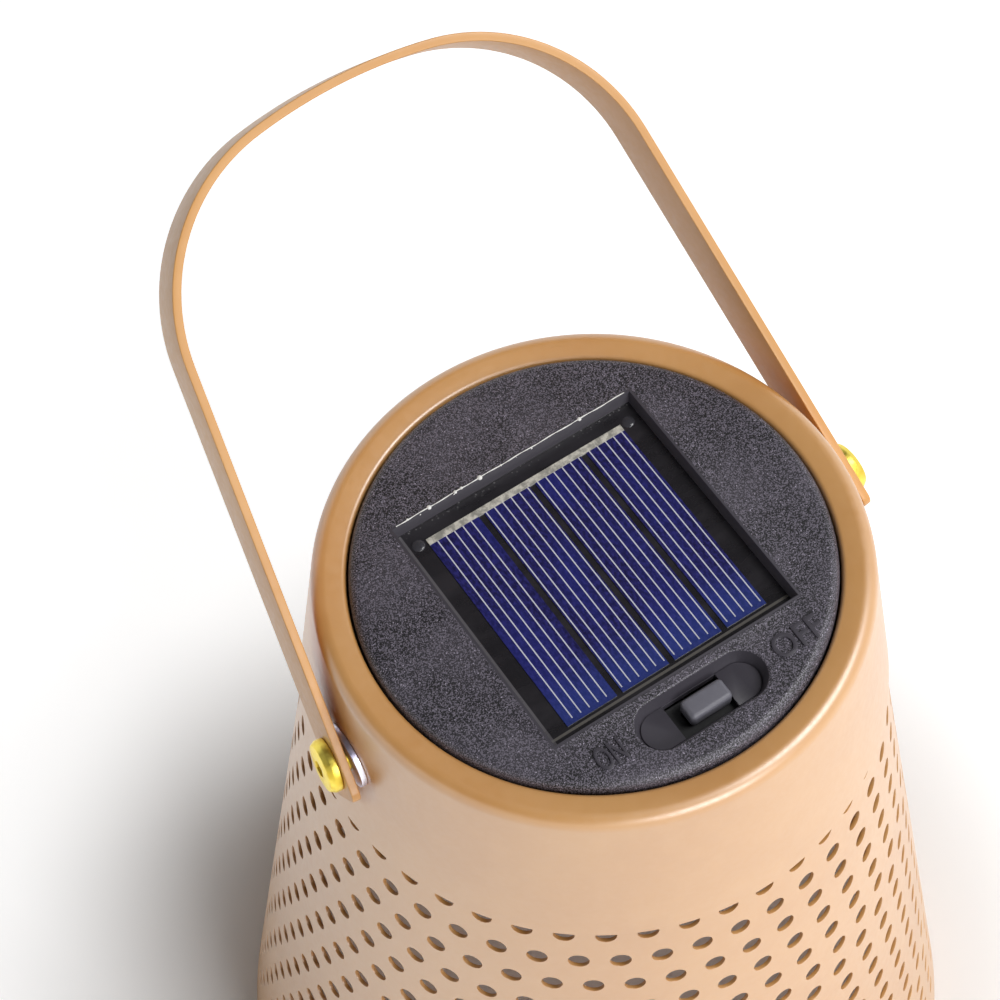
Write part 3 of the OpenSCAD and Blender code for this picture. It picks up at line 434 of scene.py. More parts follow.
finishes = {
    "paint": camelPaint("camelPaint", 2.1, 0.7),
    "strap": camelPaint("strapPaint", 1.5, 0.2),
    "cap": sparkPlastic("capPlastic", tone(14, 13, 17), tone(114, 109, 121), 0.24, 0.08, 0.068, capSmooth),
    "cup": sparkPlastic("cupPlastic", tone(36, 36, 38), tone(56, 56, 59), 0.6, 0.02),
    "door": sparkPlastic("doorPlastic", tone(40, 40, 43), tone(62, 62, 66), 0.5, 0.02),
    "knob": plainPlastic("knobPlastic", tone(106, 105, 114), 0.36, 0.5),
    "seal": plainPlastic("sealRubber", tone(30, 30, 31), 0.6, 0.75, 1.4, 0.02),
    "chip": plainPlastic("chipMoulding", tone(24, 24, 26), 0.5, 0.6),
    "brass": metal("brightBrass", tone(248, 226, 104), 0.34, 0.48, (1, 1, 1), 0.6, tone(226, 196, 72)),
    "zinc": metal("brightZinc", tone(240, 240, 250), 0.3, 0.45, (1, 1, 1), 0.5, tone(206, 202, 228)),
    "steel": metal("screwSteel", tone(200, 201, 205), 0.25, 0.42),
    "nickel": metal("nickelPlate", tone(206, 205, 200), 0.2, 0.36, (4, 1, 1)),
    "cells": cellBlue(),
    "panel": panelBlack(),
    "ink": silverInk(),
    "glue": plainPlastic("whiteSilicone", tone(236, 236, 232), 0.3, 0.45, 0.5, 0.02),
    "bead": plainPlastic("greyGlue", tone(58, 57, 62), 0.12, 0.25, 1.2, 0.01),
    "board": plainPlastic("boardGreen", tone(34, 92, 58), 0.3, 0.42, 0.6, 0.01),
    "coil": plainPlastic("coilLacquer", tone(66, 118, 80), 0.28, 0.4, 0.7, 0.02),
    "sleeve": plainPlastic("sleeveFilm", tone(52, 136, 72), 0.22, 0.34, 2.0, 0.01),
    "diode": plainPlastic("diodeResin", tone(238, 232, 206), 0.1, 0.2, 1.0, 0.004),
    "lens": clearLens(),
    "red": plainPlastic("redInsulation", tone(190, 34, 28), 0.3, 0.45, 1.0, 0.006),
    "black": plainPlastic("blackInsulation", tone(22, 22, 23), 0.3, 0.45, 1.0, 0.006),
}

nodeFinish = {
    "shade": "paint", "collar": "paint", "rivet_nuts": "zinc", "handle": "strap", "pivot_screws": "brass",
    "module_cap": "cap", "seal_ring": "seal", "solar_panel": "panel", "solar_cells": "cells",
    "cell_ribbon": "ink", "panel_adhesive": "bead", "housing_cup": "cup", "housing_screws": "steel",
    "circuit_board": "board", "board_screws": "steel", "charge_chip": "chip", "coil": "coil",
    "led": "diode", "led_lens": "lens", "switch_body": "chip", "switch_knob": "knob", "battery": "nickel",
    "battery_sleeve": "sleeve", "positive_contact": "nickel", "negative_contact": "nickel",
    "red_wires": "red", "black_wires": "black", "battery_door": "door", "door_screw": "steel",
}


# Modelling helpers

def activate(piece):
    bpy.ops.object.select_all(action="DESELECT")
    piece.select_set(True)
    bpy.context.view_layer.objects.active = piece


def baked(piece):
    # the piece's place, turn and size go into its mesh
    activate(piece)
    bpy.ops.object.transform_apply(location=True, rotation=True, scale=True)
    return piece


def editing(piece, choose="ALL"):
    activate(piece)
    bpy.ops.object.mode_set(mode="EDIT")
    bpy.ops.mesh.select_all(action="SELECT" if choose == "ALL" else "DESELECT")


def doneEditing():
    bpy.ops.object.mode_set(mode="OBJECT")


def pick(piece, test):
    # selects the vertices that pass a test on their place in millimetres
    activate(piece)
    bpy.ops.object.mode_set(mode="EDIT")
    bpy.ops.mesh.select_mode(type="VERT")
    bpy.ops.mesh.select_all(action="DESELECT")
    bpy.ops.object.mode_set(mode="OBJECT")
    for v in piece.data.vertices:
        v.select = test(v.co / mm)
    bpy.ops.object.mode_set(mode="EDIT")


def rod(radius, length, place, sides, turn=(0, 0, 0)):
    bpy.ops.object.select_all(action="DESELECT")
    bpy.ops.mesh.primitive_cylinder_add(vertices=sides, radius=radius * mm, depth=length * mm,
                                        location=[axis * mm for axis in place], rotation=turn)
    return bpy.context.object


def arc(centre, radius, start, end, steps=10):
    angles = [math.radians(start + (end - start) * i / steps) for i in range(steps + 1)]
    return [(centre[0] + radius * math.cos(t), centre[1] + radius * math.sin(t)) for t in angles]


def turned(name, outline, steps, closed=True):
    # a ring drawn up the outline, from circle to circle, as on a lathe
    r, z = outline[0]
    bpy.ops.object.select_all(action="DESELECT")
    bpy.ops.mesh.primitive_circle_add(vertices=steps, radius=r * mm, location=(0, 0, z * mm))
    piece = bpy.context.object
    piece.name = name
    bpy.ops.object.transform_apply(location=True, rotation=True, scale=True)
    editing(piece)
    route = outline[1:] + (outline[:1] if closed else [])
    for nextR, nextZ in route:
        bpy.ops.mesh.extrude_region_move(TRANSFORM_OT_translate={"value": (0, 0, (nextZ - z) * mm)})
        grow = nextR / r
        bpy.ops.transform.resize(value=(grow, grow, 1), center_override=(0, 0, 0))
        r, z = nextR, nextZ
    bpy.ops.mesh.select_all(action="SELECT")
    bpy.ops.mesh.remove_doubles(threshold=0.002 * mm)
    if not closed:
        bpy.ops.mesh.fill_holes(sides=0)
    bpy.ops.mesh.select_all(action="SELECT")
    bpy.ops.mesh.normals_make_consistent(inside=False)
    doneEditing()
    return piece


def carve(piece, cutter, operation="DIFFERENCE", solver="MANIFOLD"):
    activate(piece)
    change = piece.modifiers.new("carve", "BOOLEAN")
    change.operation, change.object, change.solver = operation, cutter, solver
    bpy.ops.object.modifier_apply(modifier=change.name)
    bpy.data.objects.remove(cutter, do_unlink=True)


def soften(piece, width, segments=2, angle=40):
    activate(piece)
    edge = piece.modifiers.new("edge", "BEVEL")
    edge.width, edge.segments = width * mm, segments
    edge.limit_method, edge.angle_limit = "ANGLE", math.radians(angle)
    edge.use_clamp_overlap = True
    bpy.ops.object.modifier_apply(modifier=edge.name)


def copyOf(piece):
    twin = piece.copy()
    twin.data = piece.data.copy()
    bpy.context.collection.objects.link(twin)
    return twin


def joined(pieces, name):
    bpy.ops.object.select_all(action="DESELECT")
    for piece in pieces:
        piece.select_set(True)
    bpy.context.view_layer.objects.active = pieces[0]
    bpy.ops.object.join()
    pieces[0].name = name
    return pieces[0]


def settle(piece, name, body, finish, replaced, smooth=35):
    # the piece is finished, named and goes with a body
    baked(piece)
    bpy.ops.object.shade_smooth_by_angle(angle=math.radians(smooth))
    piece.name = name
    piece.data.name = name
    dress(piece, finishes[finish])
    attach(piece, body)
    if replaced:
        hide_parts(*replaced)
    print("made", name, len(piece.data.polygons), "faces")
    return piece


# Shade: one rolled sheet with rows of punched holes

shade = {
    "baseRadius": 79.25, "neckRadius": 53.5, "footWidth": 8, "footRound": 1.0, "steps": 300,
    "holeRadius": 1.9, "holePitch": 7.55, "rowPitch": 8.65, "firstDrop": 1.8, "plainFoot": 13,
    "rowStart": -176.76, "holeSides": 16, "lapTilt": 8.1337, "cutEdge": 0.15, "footInset": 0.05, "lapEdge": 0.1,
    # the punch: how far it stands out past the hole's radius, and its height over the skin
    "punch": [(0.4, -1.8), (0, -0.4), (0.08, 0.0), (0.5, 0.35)],
}


def makeShade():
    slope = (shade["baseRadius"] - shade["neckRadius"]) / lamp["collarZ"]
    tilt = math.atan(slope)
    wall = lamp["sheet"] / math.cos(tilt)
    lapWall = lamp["sheet"] / math.cos(math.radians(shade["lapTilt"]))
    base, neck, sheet = shade["baseRadius"], shade["neckRadius"], lamp["sheet"]
    lap = neck - (lamp["shadeTop"] - lamp["collarZ"]) * math.tan(math.radians(shade["lapTilt"]))
    foot, bend, cut = base - shade["footWidth"], shade["footRound"], shade["cutEdge"]
    corner = (base - bend - shade["footInset"], bend)
    outside = [(foot, cut), (foot + cut, 0)] + arc(corner, bend, -90, math.degrees(tilt), 6)
    upper = [(neck, lamp["collarZ"]), (lap, lamp["shadeTop"] - cut), (lap - cut, lamp["shadeTop"]),
             (lap - lapWall + shade["lapEdge"], lamp["shadeTop"]), (neck - wall, lamp["collarZ"])]
    inside = arc(corner, bend - sheet, math.degrees(tilt), -90, 4) + [(foot + cut, sheet), (foot, sheet - cut)]
    outline = outside + upper + inside
    shell = turned("shadeShell", outline, shade["steps"])

    # one punch, set on the shell's skin and pointing straight out of it
    punchLine = [(shade["holeRadius"] + out, high) for out, high in shade["punch"]]
    punch = turned("punch", punchLine, shade["holeSides"], closed=False)
    rowStep = shade["rowPitch"] * math.cos(tilt)
    z = lamp["collarZ"] - shade["firstDrop"]
    rows, i = [], 0
    while z >= shade["plainFoot"]:
        reach = base - slope * z
        count = round(2 * math.pi * reach / shade["holePitch"])
        row = copyOf(punch)
        row.rotation_euler = (0, math.pi / 2 - tilt, 0)
        row.location = (reach * mm, 0, z * mm)
        baked(row)
        bpy.ops.object.empty_add(type="PLAIN_AXES", location=(0, 0, 0), rotation=(0, 0, 2 * math.pi / count))
        pivot = bpy.context.object
        activate(row)
        spread = row.modifiers.new("ring", "ARRAY")
        spread.count, spread.use_relative_offset = count, False
        spread.use_object_offset, spread.offset_object = True, pivot
        bpy.ops.object.modifier_apply(modifier=spread.name)
        bpy.data.objects.remove(pivot, do_unlink=True)
        row.rotation_euler = (0, 0, math.radians(shade["rowStart"] + (i % 2) / 2 * 360 / count))
        rows.append(baked(row))
        z, i = z - rowStep, i + 1
    bpy.data.objects.remove(punch, do_unlink=True)
    carve(shell, joined(rows, "punches"))
    settle(shell, "perforatedShade", "lamp_body", "paint", ["shade"], smooth=32)


# Collar: wall, rolled rim and seat, with the pressed flats at the pivots

collar = {
    "lowRadius": 54.4, "rimRadius": 49.6, "roll": 2.6, "fall": 0.5, "seatRadius": 43.2, "seatRound": 1.0,
    "ledge": 3.6, "tilt": 8.1337, "steps": 320, "wallStep": 0.9, "cutEdge": 0.2, "ledgeEdge": 0.3,
    "flatX": 50.9045, "flatRadius": 6.7, "flatBlend": 9.6, "flatTop": 190.5, "flatInside": 46,
    "holeRadius": 3.55,
}


def collarWall(z):
    return collar["lowRadius"] - (z - lamp["collarZ"]) * math.tan(math.radians(collar["tilt"]))


def makeCollar():
    sheet, roll, tilt, cut = lamp["sheet"], collar["roll"], collar["tilt"], collar["cutEdge"]
    seat, ledge, ledgeZ = collar["seatRadius"], collar["seatRadius"] - collar["ledge"], lamp["ledgeZ"]
    rim = (collar["rimRadius"] - roll, lamp["bodyHeight"] - roll)
    fall = math.degrees(math.atan(collar["fall"] / (rim[0] - seat)))
    fallSin, fallCos = math.sin(math.radians(fall)), math.cos(math.radians(fall))
    endX, endZ = rim[0] - roll * fallSin, rim[1] + roll * fallCos
    edgeR = collar["seatRound"]
    edgeX = seat + edgeR
    run = (endX + edgeR * fallSin - edgeX) / fallCos
    edge = (edgeX, endZ - run * fallSin - edgeR * fallCos)
    lowZ, lapX = lamp["collarZ"], sheet / math.cos(math.radians(tilt))
    wallTop = rim[1] + roll * math.sin(math.radians(tilt))
    count = round((wallTop - lowZ) / collar["wallStep"])
    levels = [lowZ + cut + (wallTop - lowZ - cut) * i / count for i in range(count)]
    outside = ([(collar["lowRadius"] - cut, lowZ)] + [(collarWall(z), z) for z in levels]
               + arc(rim, roll, tilt, 90 + fall, 14) + arc(edge, edgeR, 90 + fall, 180, 8)
               + [(seat, ledgeZ + collar["ledgeEdge"]), (seat - collar["ledgeEdge"], ledgeZ), (ledge, ledgeZ)])
    inside = ([(ledge, ledgeZ - sheet), (seat + sheet, ledgeZ - sheet)]
              + arc(edge, edgeR - sheet, 180, 90 + fall, 4) + arc(rim, roll - sheet, 90 + fall, tilt, 8)
              + [(collarWall(z) - lapX, z) for z in reversed(levels)])
    wall = turned("collarWall", outside + inside, collar["steps"])

    # the flats are pressed in round each pivot, and the wall bends softly into them
    for v in wall.data.vertices:
        x, y, z = v.co / mm
        away, reach = math.hypot(y, z - lamp["pivotZ"]), math.hypot(x, y)
        if away < collar["flatBlend"] and z < collar["flatTop"] and reach > collar["flatInside"]:
            inner = reach < collarWall(z) - sheet / 2
            flat = collar["flatX"] - (sheet if inner else 0)
            share = (collar["flatBlend"] - away) / (collar["flatBlend"] - collar["flatRadius"])
            share = max(0, min(1, share))
            share = share * share * (3 - 2 * share)
            v.co.x = math.copysign(abs(x) * (1 - share) + flat * share, x) * mm
    for side in (-1, 1):
        carve(wall, rod(collar["holeRadius"], 6, (side * collar["flatX"], 0, lamp["pivotZ"]), 40, sideways))
    settle(wall, "rolledCollar", "lamp_body", "paint", ["collar"], smooth=40)


# Rivet nuts behind the straps

nut = {
    "flangeRadius": 6.2, "flange": 1.2, "bodyRadius": 3.45, "length": 9.5, "bore": 2.55,
    "bulgeRadius": 4.6, "bulge": 2.5, "edge": 0.18, "steps": 64,
    "bulgeEnd": (0.5, 0.3), "bulgeStart": (0.4, 0.2), "flangeDraft": 0.05, "mouth": 0.3,
}


def makeNuts():
    edge, flange, end = nut["edge"], nut["flange"], -nut["length"]
    bore, body, bulge, wide = nut["bore"], nut["bodyRadius"], nut["bulgeRadius"], nut["flangeRadius"]
    start = -lamp["sheet"]
    low = start - nut["bulge"]
    outline = [(bore, end + edge), (bore + edge, end), (body - edge, end), (body, end + edge), (body, low),
               (bulge - nut["bulgeEnd"][0], low + nut["bulgeEnd"][1]), (bulge, start - nut["bulge"] / 2),
               (bulge - nut["bulgeStart"][0], start - nut["bulgeStart"][1]), (body, start), (body, 0),
               (wide - edge, 0), (wide, edge), (wide, flange - edge),
               (wide - nut["flangeDraft"], flange - edge / 3), (wide - edge, flange),
               (bore + nut["mouth"], flange), (bore, flange - nut["mouth"])]
    first = turned("nut", outline, nut["steps"])
    first.rotation_euler = sideways
    first.location = (collar["flatX"] * mm, 0, lamp["pivotZ"] * mm)
    baked(first)
    second = copyOf(first)
    second.rotation_euler = (0, 0, math.pi)
    settle(joined([first, baked(second)], "nuts"), "rivetNuts", "lamp_body", "zinc", ["rivet_nuts"], smooth=30)


# Handle: one flat strap, cut, edged and bent over a former

handle = {
    "height": 105, "halfWidth": 53.709, "lean": 6.2, "width": 12, "thick": 1.6, "bend": 34.6, "crown": 100,
    "tail": 7, "corner": 2, "edge": 0.72, "rest": 52, "pieces": 170, "holeRadius": 2.55,
}


def handleRoute():
    lean = math.radians(handle["lean"])
    along = Vector((-math.sin(lean), math.cos(lean)))
    out = Vector((math.cos(lean), math.sin(lean)))
    foot = Vector((handle["halfWidth"], 0))
    crown = Vector((0, handle["height"] - handle["crown"]))
    low = foot - out * handle["bend"]
    half = along.dot(low - crown)
    rest = (low - crown).length ** 2 - (handle["crown"] - handle["bend"]) ** 2
    centre = low + along * (math.sqrt(half * half - rest) - half)
    end = math.degrees(math.atan2(centre.y - crown.y, centre.x))
    straight = [tuple(foot - along * handle["tail"]), tuple(foot)]
    side = straight + arc(tuple(centre), handle["bend"], handle["lean"], end, 40)
    top = arc(tuple(crown), handle["crown"], end, 180 - end, 60)[1:-1]
    return side + top + [(-x, y) for x, y in reversed(side)]


def makeHandle():
    route = handleRoute()
    length = sum(math.dist(a, b) for a, b in zip(route, route[1:]))
    # the flat blank lies along X, upright in Z, and is rounded at its four corners
    bpy.ops.object.select_all(action="DESELECT")
    bpy.ops.mesh.primitive_plane_add(size=1, location=(length / 2 * mm, 0, 0), rotation=(math.pi / 2, 0, 0))
    strap = bpy.context.object
    strap.scale = (length * mm, handle["width"] * mm, 1)
    editing(baked(strap))
    bpy.ops.mesh.bevel(offset=handle["corner"] * mm, segments=6, affect="VERTICES")
    for i in range(1, handle["pieces"]):
        bpy.ops.mesh.select_all(action="SELECT")
        bpy.ops.mesh.bisect(plane_co=(length * i / handle["pieces"] * mm, 0, 0), plane_no=(1, 0, 0))
    doneEditing()
    sheet = strap.modifiers.new("sheet", "SOLIDIFY")
    sheet.thickness, sheet.offset = handle["thick"] * mm, 0
    bpy.ops.object.modifier_apply(modifier=sheet.name)
    for x in (handle["tail"], length - handle["tail"]):
        carve(strap, rod(handle["holeRadius"], 8, (x, 0, 0), 32, (math.pi / 2, 0, 0)))
    soften(strap, handle["edge"], 4, 60)

    # the former is a flat curve that the strap is bent along
    shape = bpy.data.curves.new("former", "CURVE")
    shape.dimensions = "2D"
    line = shape.splines.new("POLY")
    line.points.add(len(route) - 1)
    for point, (x, y) in zip(line.points, route):
        point.co = (x * mm, y * mm, 0, 1)
    former = bpy.data.objects.new("former", shape)
    bpy.context.collection.objects.link(former)
    activate(strap)
    bend = strap.modifiers.new("former", "CURVE")
    bend.object, bend.deform_axis = former, "POS_X"
    bpy.ops.object.modifier_apply(modifier=bend.name)
    bpy.data.objects.remove(former, do_unlink=True)
    strap.rotation_euler = (math.radians(90 - handle["rest"]), 0, 0)
    strap.location = (0, 0, lamp["pivotZ"] * mm)
    settle(strap, "strapHandle", "carry_handle", "strap", ["handle"], smooth=35)


# Pivot screws: brass button heads with hexagon sockets

screw = {
    "headRadius": 4.95, "head": 2.5, "side": 1.5, "faceRadius": 4.25, "shoulder": 2.34, "foot": 0.2,
    "draft": 0.08, "faceEdge": 0.15, "socket": 3.0, "socketDepth": 1.5, "socketMouth": 0.9, "innermost": 0.3,
    "headEdge": 0.1, "shankRadius": 2.45, "shankIn": 0.5, "shankEdge": 0.25, "length": 11, "steps": 64,
}


def makeScrews():
    face, r, high, foot, draft = strapFace(), screw["headRadius"], screw["head"], screw["foot"], screw["draft"]
    outline = [(r - foot, 0), (r, foot), (r, screw["side"] - foot), (r - draft, screw["side"]),
               (screw["faceRadius"] + screw["faceEdge"], screw["shoulder"] - draft),
               (screw["faceRadius"] - screw["faceEdge"], screw["shoulder"]),
               (screw["socket"] * screw["socketMouth"], high), (screw["innermost"], high)]
    headPiece = turned("head", outline, screw["steps"], closed=False)
    corner = screw["socket"] / 2 / math.cos(math.pi / 6)
    carve(headPiece, rod(corner, 4, (0, 0, screw["head"] - screw["socketDepth"] + 2), 6))
    soften(headPiece, screw["headEdge"], 2, 45)
    heads = [headPiece, copyOf(headPiece)]
    lean = math.radians(90 - handle["lean"])
    for side, piece in zip((1, -1), heads):
        turn = Matrix.Rotation(-math.radians(handle["rest"]), 4, "X")
        mirror = Matrix.Rotation(math.pi, 4, "Z") if side < 0 else Matrix.Identity(4)
        local = mirror @ Matrix.Translation((face * mm, 0, 0)) @ Matrix.Rotation(lean, 4, "Y")
        piece.matrix_world = Matrix.Translation((0, 0, lamp["pivotZ"] * mm)) @ turn @ local
        baked(piece)
    middle = face + screw["shankIn"] - screw["length"] / 2
    for side in (1, -1):
        place = (side * middle, 0, lamp["pivotZ"])
        shank = baked(rod(screw["shankRadius"], screw["length"], place, 40, sideways))
        soften(shank, screw["shankEdge"], 2, 60)
        heads.append(shank)
    settle(joined(heads, "screws"), "buttonScrews", "carry_handle", "brass", ["pivot_screws"], smooth=30)


def strapFace():
    return handle["halfWidth"] + handle["thick"] / 2 / math.cos(math.radians(handle["lean"]))


# Module cap: round plate with its window, the switch recess and the words

cap = {
    "radius": 42.8, "round": 1.9, "skirt": 1.6, "skirtZ": 192.6, "steps": 256, "outerRing": 36, "innerRing": 8,
    "window": 51, "draft": 0.6, "edge": 0.22,
    "lip": 25.9, "lipHigh": 0.09, "lipSlope": 0.3, "frameLow": 0.3,
    "switchY": -32.2, "recess": 25.6, "recessWide": 9.3, "recessFloor": 7.6, "recessDeep": 2.8,
    "recessRound": 0.5, "recessWall": 1.2, "recessShellTop": 0.4, "recessOver": 0.5,
    "slot": 11.1, "slotX": -0.15, "slotWide": 7.2, "slotDeep": 6, "slotHigh": 4.2,
    "padRadius": 3.65, "pad": 0.3, "padDraft": 0.06,
    "postRadius": 3, "postReach": 31.5, "postFoot": 165.6, "postOver": 0.5, "screwRadius": 1.3, "screwReach": 9,
    # each word with its left, right, low and high side
    "words": [("ON", -21.35, -16.0, -34.25, -29.6), ("OFF", 15.4, 25.2, -34.2, -29.5)],
    "wordHigh": 0.36, "wordEdge": 0.06,
}


def stadium(length, outline, name):
    # a round-ended block, turned from its outline and then drawn out along X
    block = turned(name, outline, 50, closed=False)
    block.location.y = cap["switchY"] * mm
    baked(block)
    run = length / 2 * mm
    for sign in (-1, 1):
        pick(block, lambda place: place.x * sign > 0)
        bpy.ops.transform.translate(value=(sign * run, 0, 0))
        doneEditing()
    return block


def boxAt(x, y, z, length, width, height):
    bpy.ops.object.select_all(action="DESELECT")
    bpy.ops.mesh.primitive_cube_add(size=1, location=(x * mm, y * mm, (z + height / 2) * mm))
    block = bpy.context.object
    block.scale = (length * mm, width * mm, height * mm)
    return baked(block)


def makeWord(text, left, right, low, high):
    # raised letters, drawn to their measured box
    bpy.ops.object.select_all(action="DESELECT")
    bpy.ops.object.text_add(location=(0, 0, 0))
    word = bpy.context.object
    word.data.body = text
    word.data.size = (high - low) * mm
    word.data.extrude = (cap["wordHigh"] - cap["wordEdge"]) * mm
    word.data.bevel_depth = cap["wordEdge"] * mm
    word.data.bevel_resolution = 1
    word.data.resolution_u = 5
    bpy.ops.object.convert(target="MESH")
    editing(word)
    bpy.ops.mesh.remove_doubles(threshold=0.001 * mm)
    bpy.ops.mesh.normals_make_consistent(inside=False)
    doneEditing()
    xs = [v.co.x for v in word.data.vertices]
    ys = [v.co.y for v in word.data.vertices]
    wide = (right - left) * mm / (max(xs) - min(xs))
    tall = (high - low) * mm / (max(ys) - min(ys))
    word.scale = (wide, tall, 1)
    word.location = (left * mm - min(xs) * wide, low * mm - min(ys) * tall, lamp["capTop"] * mm)
    return baked(word)


def makeCap():
    top, under, r = lamp["capTop"], lamp["capUnder"], cap["radius"]
    outer, inner = cap["outerRing"], cap["innerRing"]
    outline = ([(inner, under), (outer, under), (r - cap["skirt"], under), (r - cap["skirt"], cap["skirtZ"]),
                (r, cap["skirtZ"])] + arc((r - cap["round"], top - cap["round"]), cap["round"], 0, 90, 12)
               + [(outer, top), (inner, top)])
    plate = turned("capPlate", outline, cap["steps"], closed=False)

    # the lip is a low frame round the window, sloping outwards
    half, lip = cap["window"] / 2, cap["lip"]
    frameLow = cap["frameLow"]
    frameSide = lip + cap["lipSlope"] / cap["lipHigh"] * frameLow
    lipFrame = boxAt(0, 0, top - frameLow, 2 * frameSide, 2 * frameSide, frameLow + cap["lipHigh"])
    pick(lipFrame, lambda place: place.z > top)
    shrink = (lip - cap["lipSlope"]) / frameSide
    bpy.ops.transform.resize(value=(shrink, shrink, 1), center_override=(0, 0, 0))
    doneEditing()
    carve(plate, lipFrame, "UNION")
    window = boxAt(0, 0, under - 1, cap["window"], cap["window"], top - under + 2)
    pick(window, lambda place: place.z < under)
    drop = 1 - cap["draft"] / half * (top - under + 1) / (top - under)
    bpy.ops.transform.resize(value=(drop, drop, 1), center_override=(0, 0, 0))
    doneEditing()
    carve(plate, window)

    run, floor = cap["recess"] - cap["recessWide"], top - cap["recessDeep"]
    low, high, edge = cap["recessFloor"] / 2, cap["recessWide"] / 2, cap["recessRound"]
    wall, pad = cap["recessWall"], cap["padRadius"]
    shell = [(low + wall, floor - wall), (high + wall, top - cap["recessShellTop"])]
    carve(plate, stadium(run, shell, "recessShell"), "UNION")
    lean = math.degrees(math.atan((high - low) / cap["recessDeep"]))
    rim = arc((high + edge, top - edge), edge, 180 - lean, 90, 6)
    hollow = [(low, floor)] + rim + [(high + edge, top + cap["recessOver"])]
    carve(plate, stadium(run, hollow, "recess"))
    pads = [(pad, floor - cap["pad"]), (pad - cap["padDraft"], floor + cap["pad"])]
    carve(plate, stadium(run, pads, "pads"), "UNION")
    slotLow = top - cap["slotDeep"]
    carve(plate, boxAt(cap["slotX"], cap["switchY"], slotLow, cap["slot"], cap["slotWide"], cap["slotHigh"]))
    soften(plate, cap["edge"], 3, 35)

    # three posts below take the housing's screws
    for angle in (0, 90, 180):
        x, y = (cap["postReach"] * f(math.radians(angle)) for f in (math.cos, math.sin))
        foot = cap["postFoot"]
        post = under + cap["postOver"] - foot
        carve(plate, rod(cap["postRadius"], post, (x, y, foot + post / 2), 32), "UNION")
        bore = cap["screwReach"]
        carve(plate, rod(cap["screwRadius"], bore, (x, y, foot - 1 + bore / 2), 32))
    for text, left, right, low, high in cap["words"]:
        carve(plate, makeWord(text, left, right, low, high), "UNION", "EXACT")
    plate.rotation_euler = (0, 0, math.radians(lamp["moduleTurn"]))
    settle(plate, "moduleCap", "solar_module", "cap", ["module_cap"], smooth=40)


# Slide knob

knob = {
    "length": 8.6, "width": 4.2, "x": 0.95, "sink": 0.5, "low": 195.3, "corner": 0.9, "edge": 0.42,
    "stem": 2.1, "stemLow": 191.4, "stemHigh": 4.2, "stemEdge": 0.1,
}


def makeKnob():
    x, y, low = knob["x"], cap["switchY"], knob["low"]
    head = boxAt(x, y, low, knob["length"], knob["width"], lamp["capTop"] - knob["sink"] - low)
    editing(head, "NONE")
    doneEditing()
    for edge in head.data.edges:
        a, b = (head.data.vertices[i].co for i in edge.vertices)
        edge.select = abs(a.z - b.z) > 1e-6
    bpy.ops.object.mode_set(mode="EDIT")
    bpy.ops.mesh.select_mode(type="EDGE")
    bpy.ops.mesh.bevel(offset=knob["corner"] * mm, segments=8, affect="EDGES")
    doneEditing()
    soften(head, knob["edge"], 4, 50)
    stem = boxAt(x, y, knob["stemLow"], knob["length"] / 2, knob["stem"], knob["stemHigh"])
    soften(stem, knob["stemEdge"], 2, 50)
    both = joined([head, stem], "knob")
    both.rotation_euler = (0, 0, math.radians(lamp["moduleTurn"]))
    settle(both, "slideKnob", "slide_knob", "knob", ["switch_knob"], smooth=35)


# Glue: a thread along the far window edge with drops on it, and two grey beads

glue = {
    "threadX": 24.4, "threadY": 25.52, "threadZ": 199.12, "thread": 0.13, "cuts": 49, "count": 9, "seed": 11,
    # two waves of the thread, sideways and up: size, pace and start
    "waves": [(0.05, 0.9, 0), (0.04, 1.7, 1)],
    # drops listed with their place and radius, and ranges for the small ones
    "big": [(-17.5, 0.46), (-12.0, 0.36), (-6.8, 0.5), (14.6, 0.4)], "bigFlat": 0.7,
    "dropX": (-24, 24), "dropY": (-0.1, 0.05), "dropZ": (-0.3, 0.05),
    "small": (0.14, 0.3), "dropFlat": (0.5, 0.9),
    "beadX": 22.5, "beadY": 21.5, "beadZ": 196.22, "beadRadius": 1.25, "beadFlat": 0.3,
}


def blob(x, y, z, radius, flat, steps=2):
    bpy.ops.object.select_all(action="DESELECT")
    bpy.ops.mesh.primitive_ico_sphere_add(subdivisions=steps, radius=radius * mm,
                                          location=(x * mm, y * mm, z * mm))
    piece = bpy.context.object
    piece.scale = (1, 1, flat)
    return baked(piece)


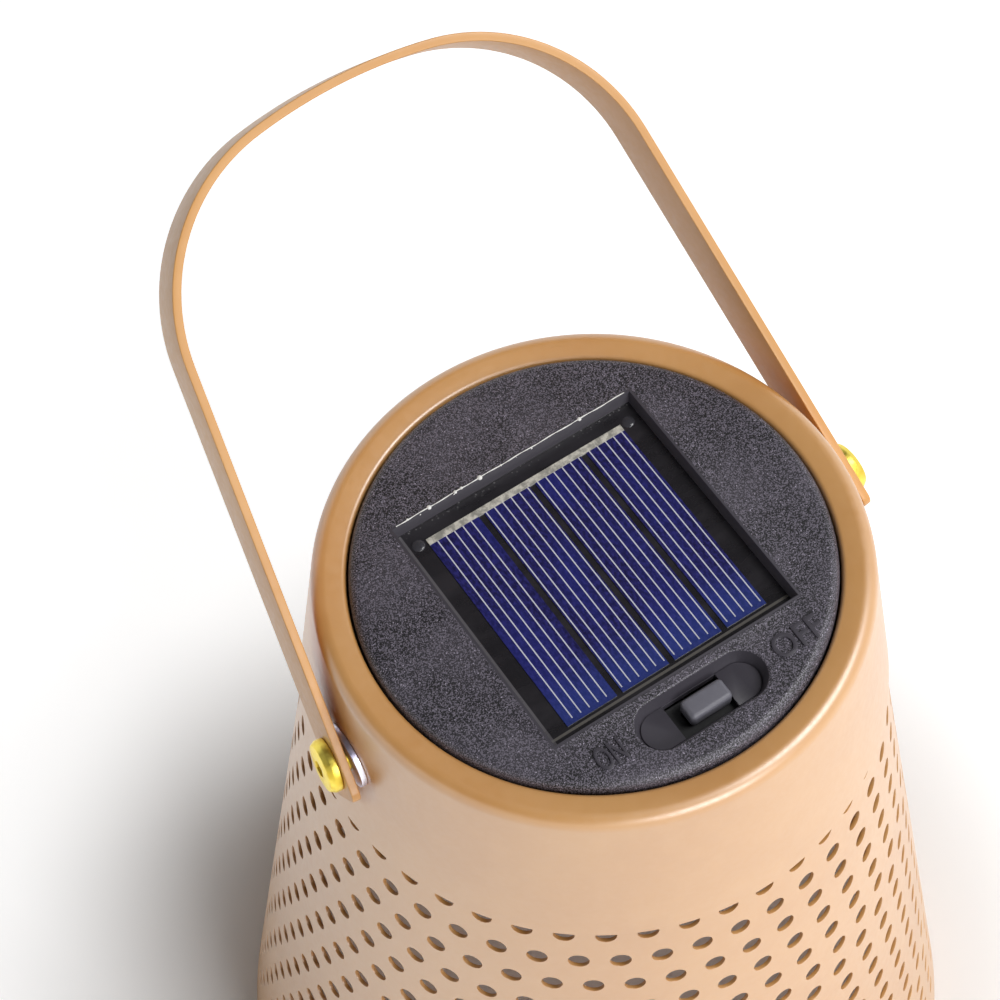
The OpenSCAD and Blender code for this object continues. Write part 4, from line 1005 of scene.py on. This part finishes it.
def makeGlue():
    chance = random.Random(glue["seed"])
    y, z = glue["threadY"], glue["threadZ"]
    thread = baked(rod(glue["thread"], 2 * glue["threadX"], (0, y, z), 12, sideways))
    editing(thread)
    for i in range(1, glue["cuts"]):
        bpy.ops.mesh.select_all(action="SELECT")
        place = (2 * i / glue["cuts"] - 1) * glue["threadX"] * mm
        bpy.ops.mesh.bisect(plane_co=(place, 0, 0), plane_no=(1, 0, 0))
    doneEditing()
    # the thread wanders a little, as it was laid by hand
    for v in thread.data.vertices:
        for axis, (size, pace, start) in zip((1, 2), glue["waves"]):
            v.co[axis] += size * mm * math.sin(v.co.x / mm * pace + start)
    drops = [thread] + [blob(x, y, z, radius, glue["bigFlat"]) for x, radius in glue["big"]]
    for _ in range(glue["count"]):
        ranges = (glue[name] for name in ("dropX", "dropY", "dropZ", "small", "dropFlat"))
        x, out, up, radius, flat = (chance.uniform(*ends) for ends in ranges)
        drops.append(blob(x, y + out, z + up, radius, flat))
    line = joined(drops, "thread")
    line.rotation_euler = (0, 0, math.radians(lamp["moduleTurn"]))
    settle(line, "siliconeThread", "solar_module", "glue", None, 60)
    pair = [blob(side * glue["beadX"], glue["beadY"], glue["beadZ"], glue["beadRadius"], glue["beadFlat"], 4)
            for side in (-1, 1)]
    beads = joined(pair, "beads")
    beads.rotation_euler = (0, 0, math.radians(lamp["moduleTurn"]))
    settle(beads, "glueBeads", "solar_module", "bead", None, 60)


def backdrop(name, size, height, material):
    bpy.ops.object.select_all(action="DESELECT")
    bpy.ops.mesh.primitive_plane_add(size=size, location=(0, 0, height))
    plane = bpy.context.object
    plane.name = name
    dress(plane, material)
    return plane


print("finishes made:", len(finishes))
for name, node in nodes.items():
    dress(node, finishes[nodeFinish[name]])

addCamera()
addStudio()
floorPlane = backdrop("studioFloor", studio["floorSize"], 0, floorWhite())
ceilingPlane = backdrop("studioCeiling", studio["ceilingSize"], studio["ceilingHeight"], ceilingGrey())
print("studio ready")

makeShade()
makeCollar()
makeNuts()
makeHandle()
makeScrews()
makeCap()
makeKnob()
makeGlue()
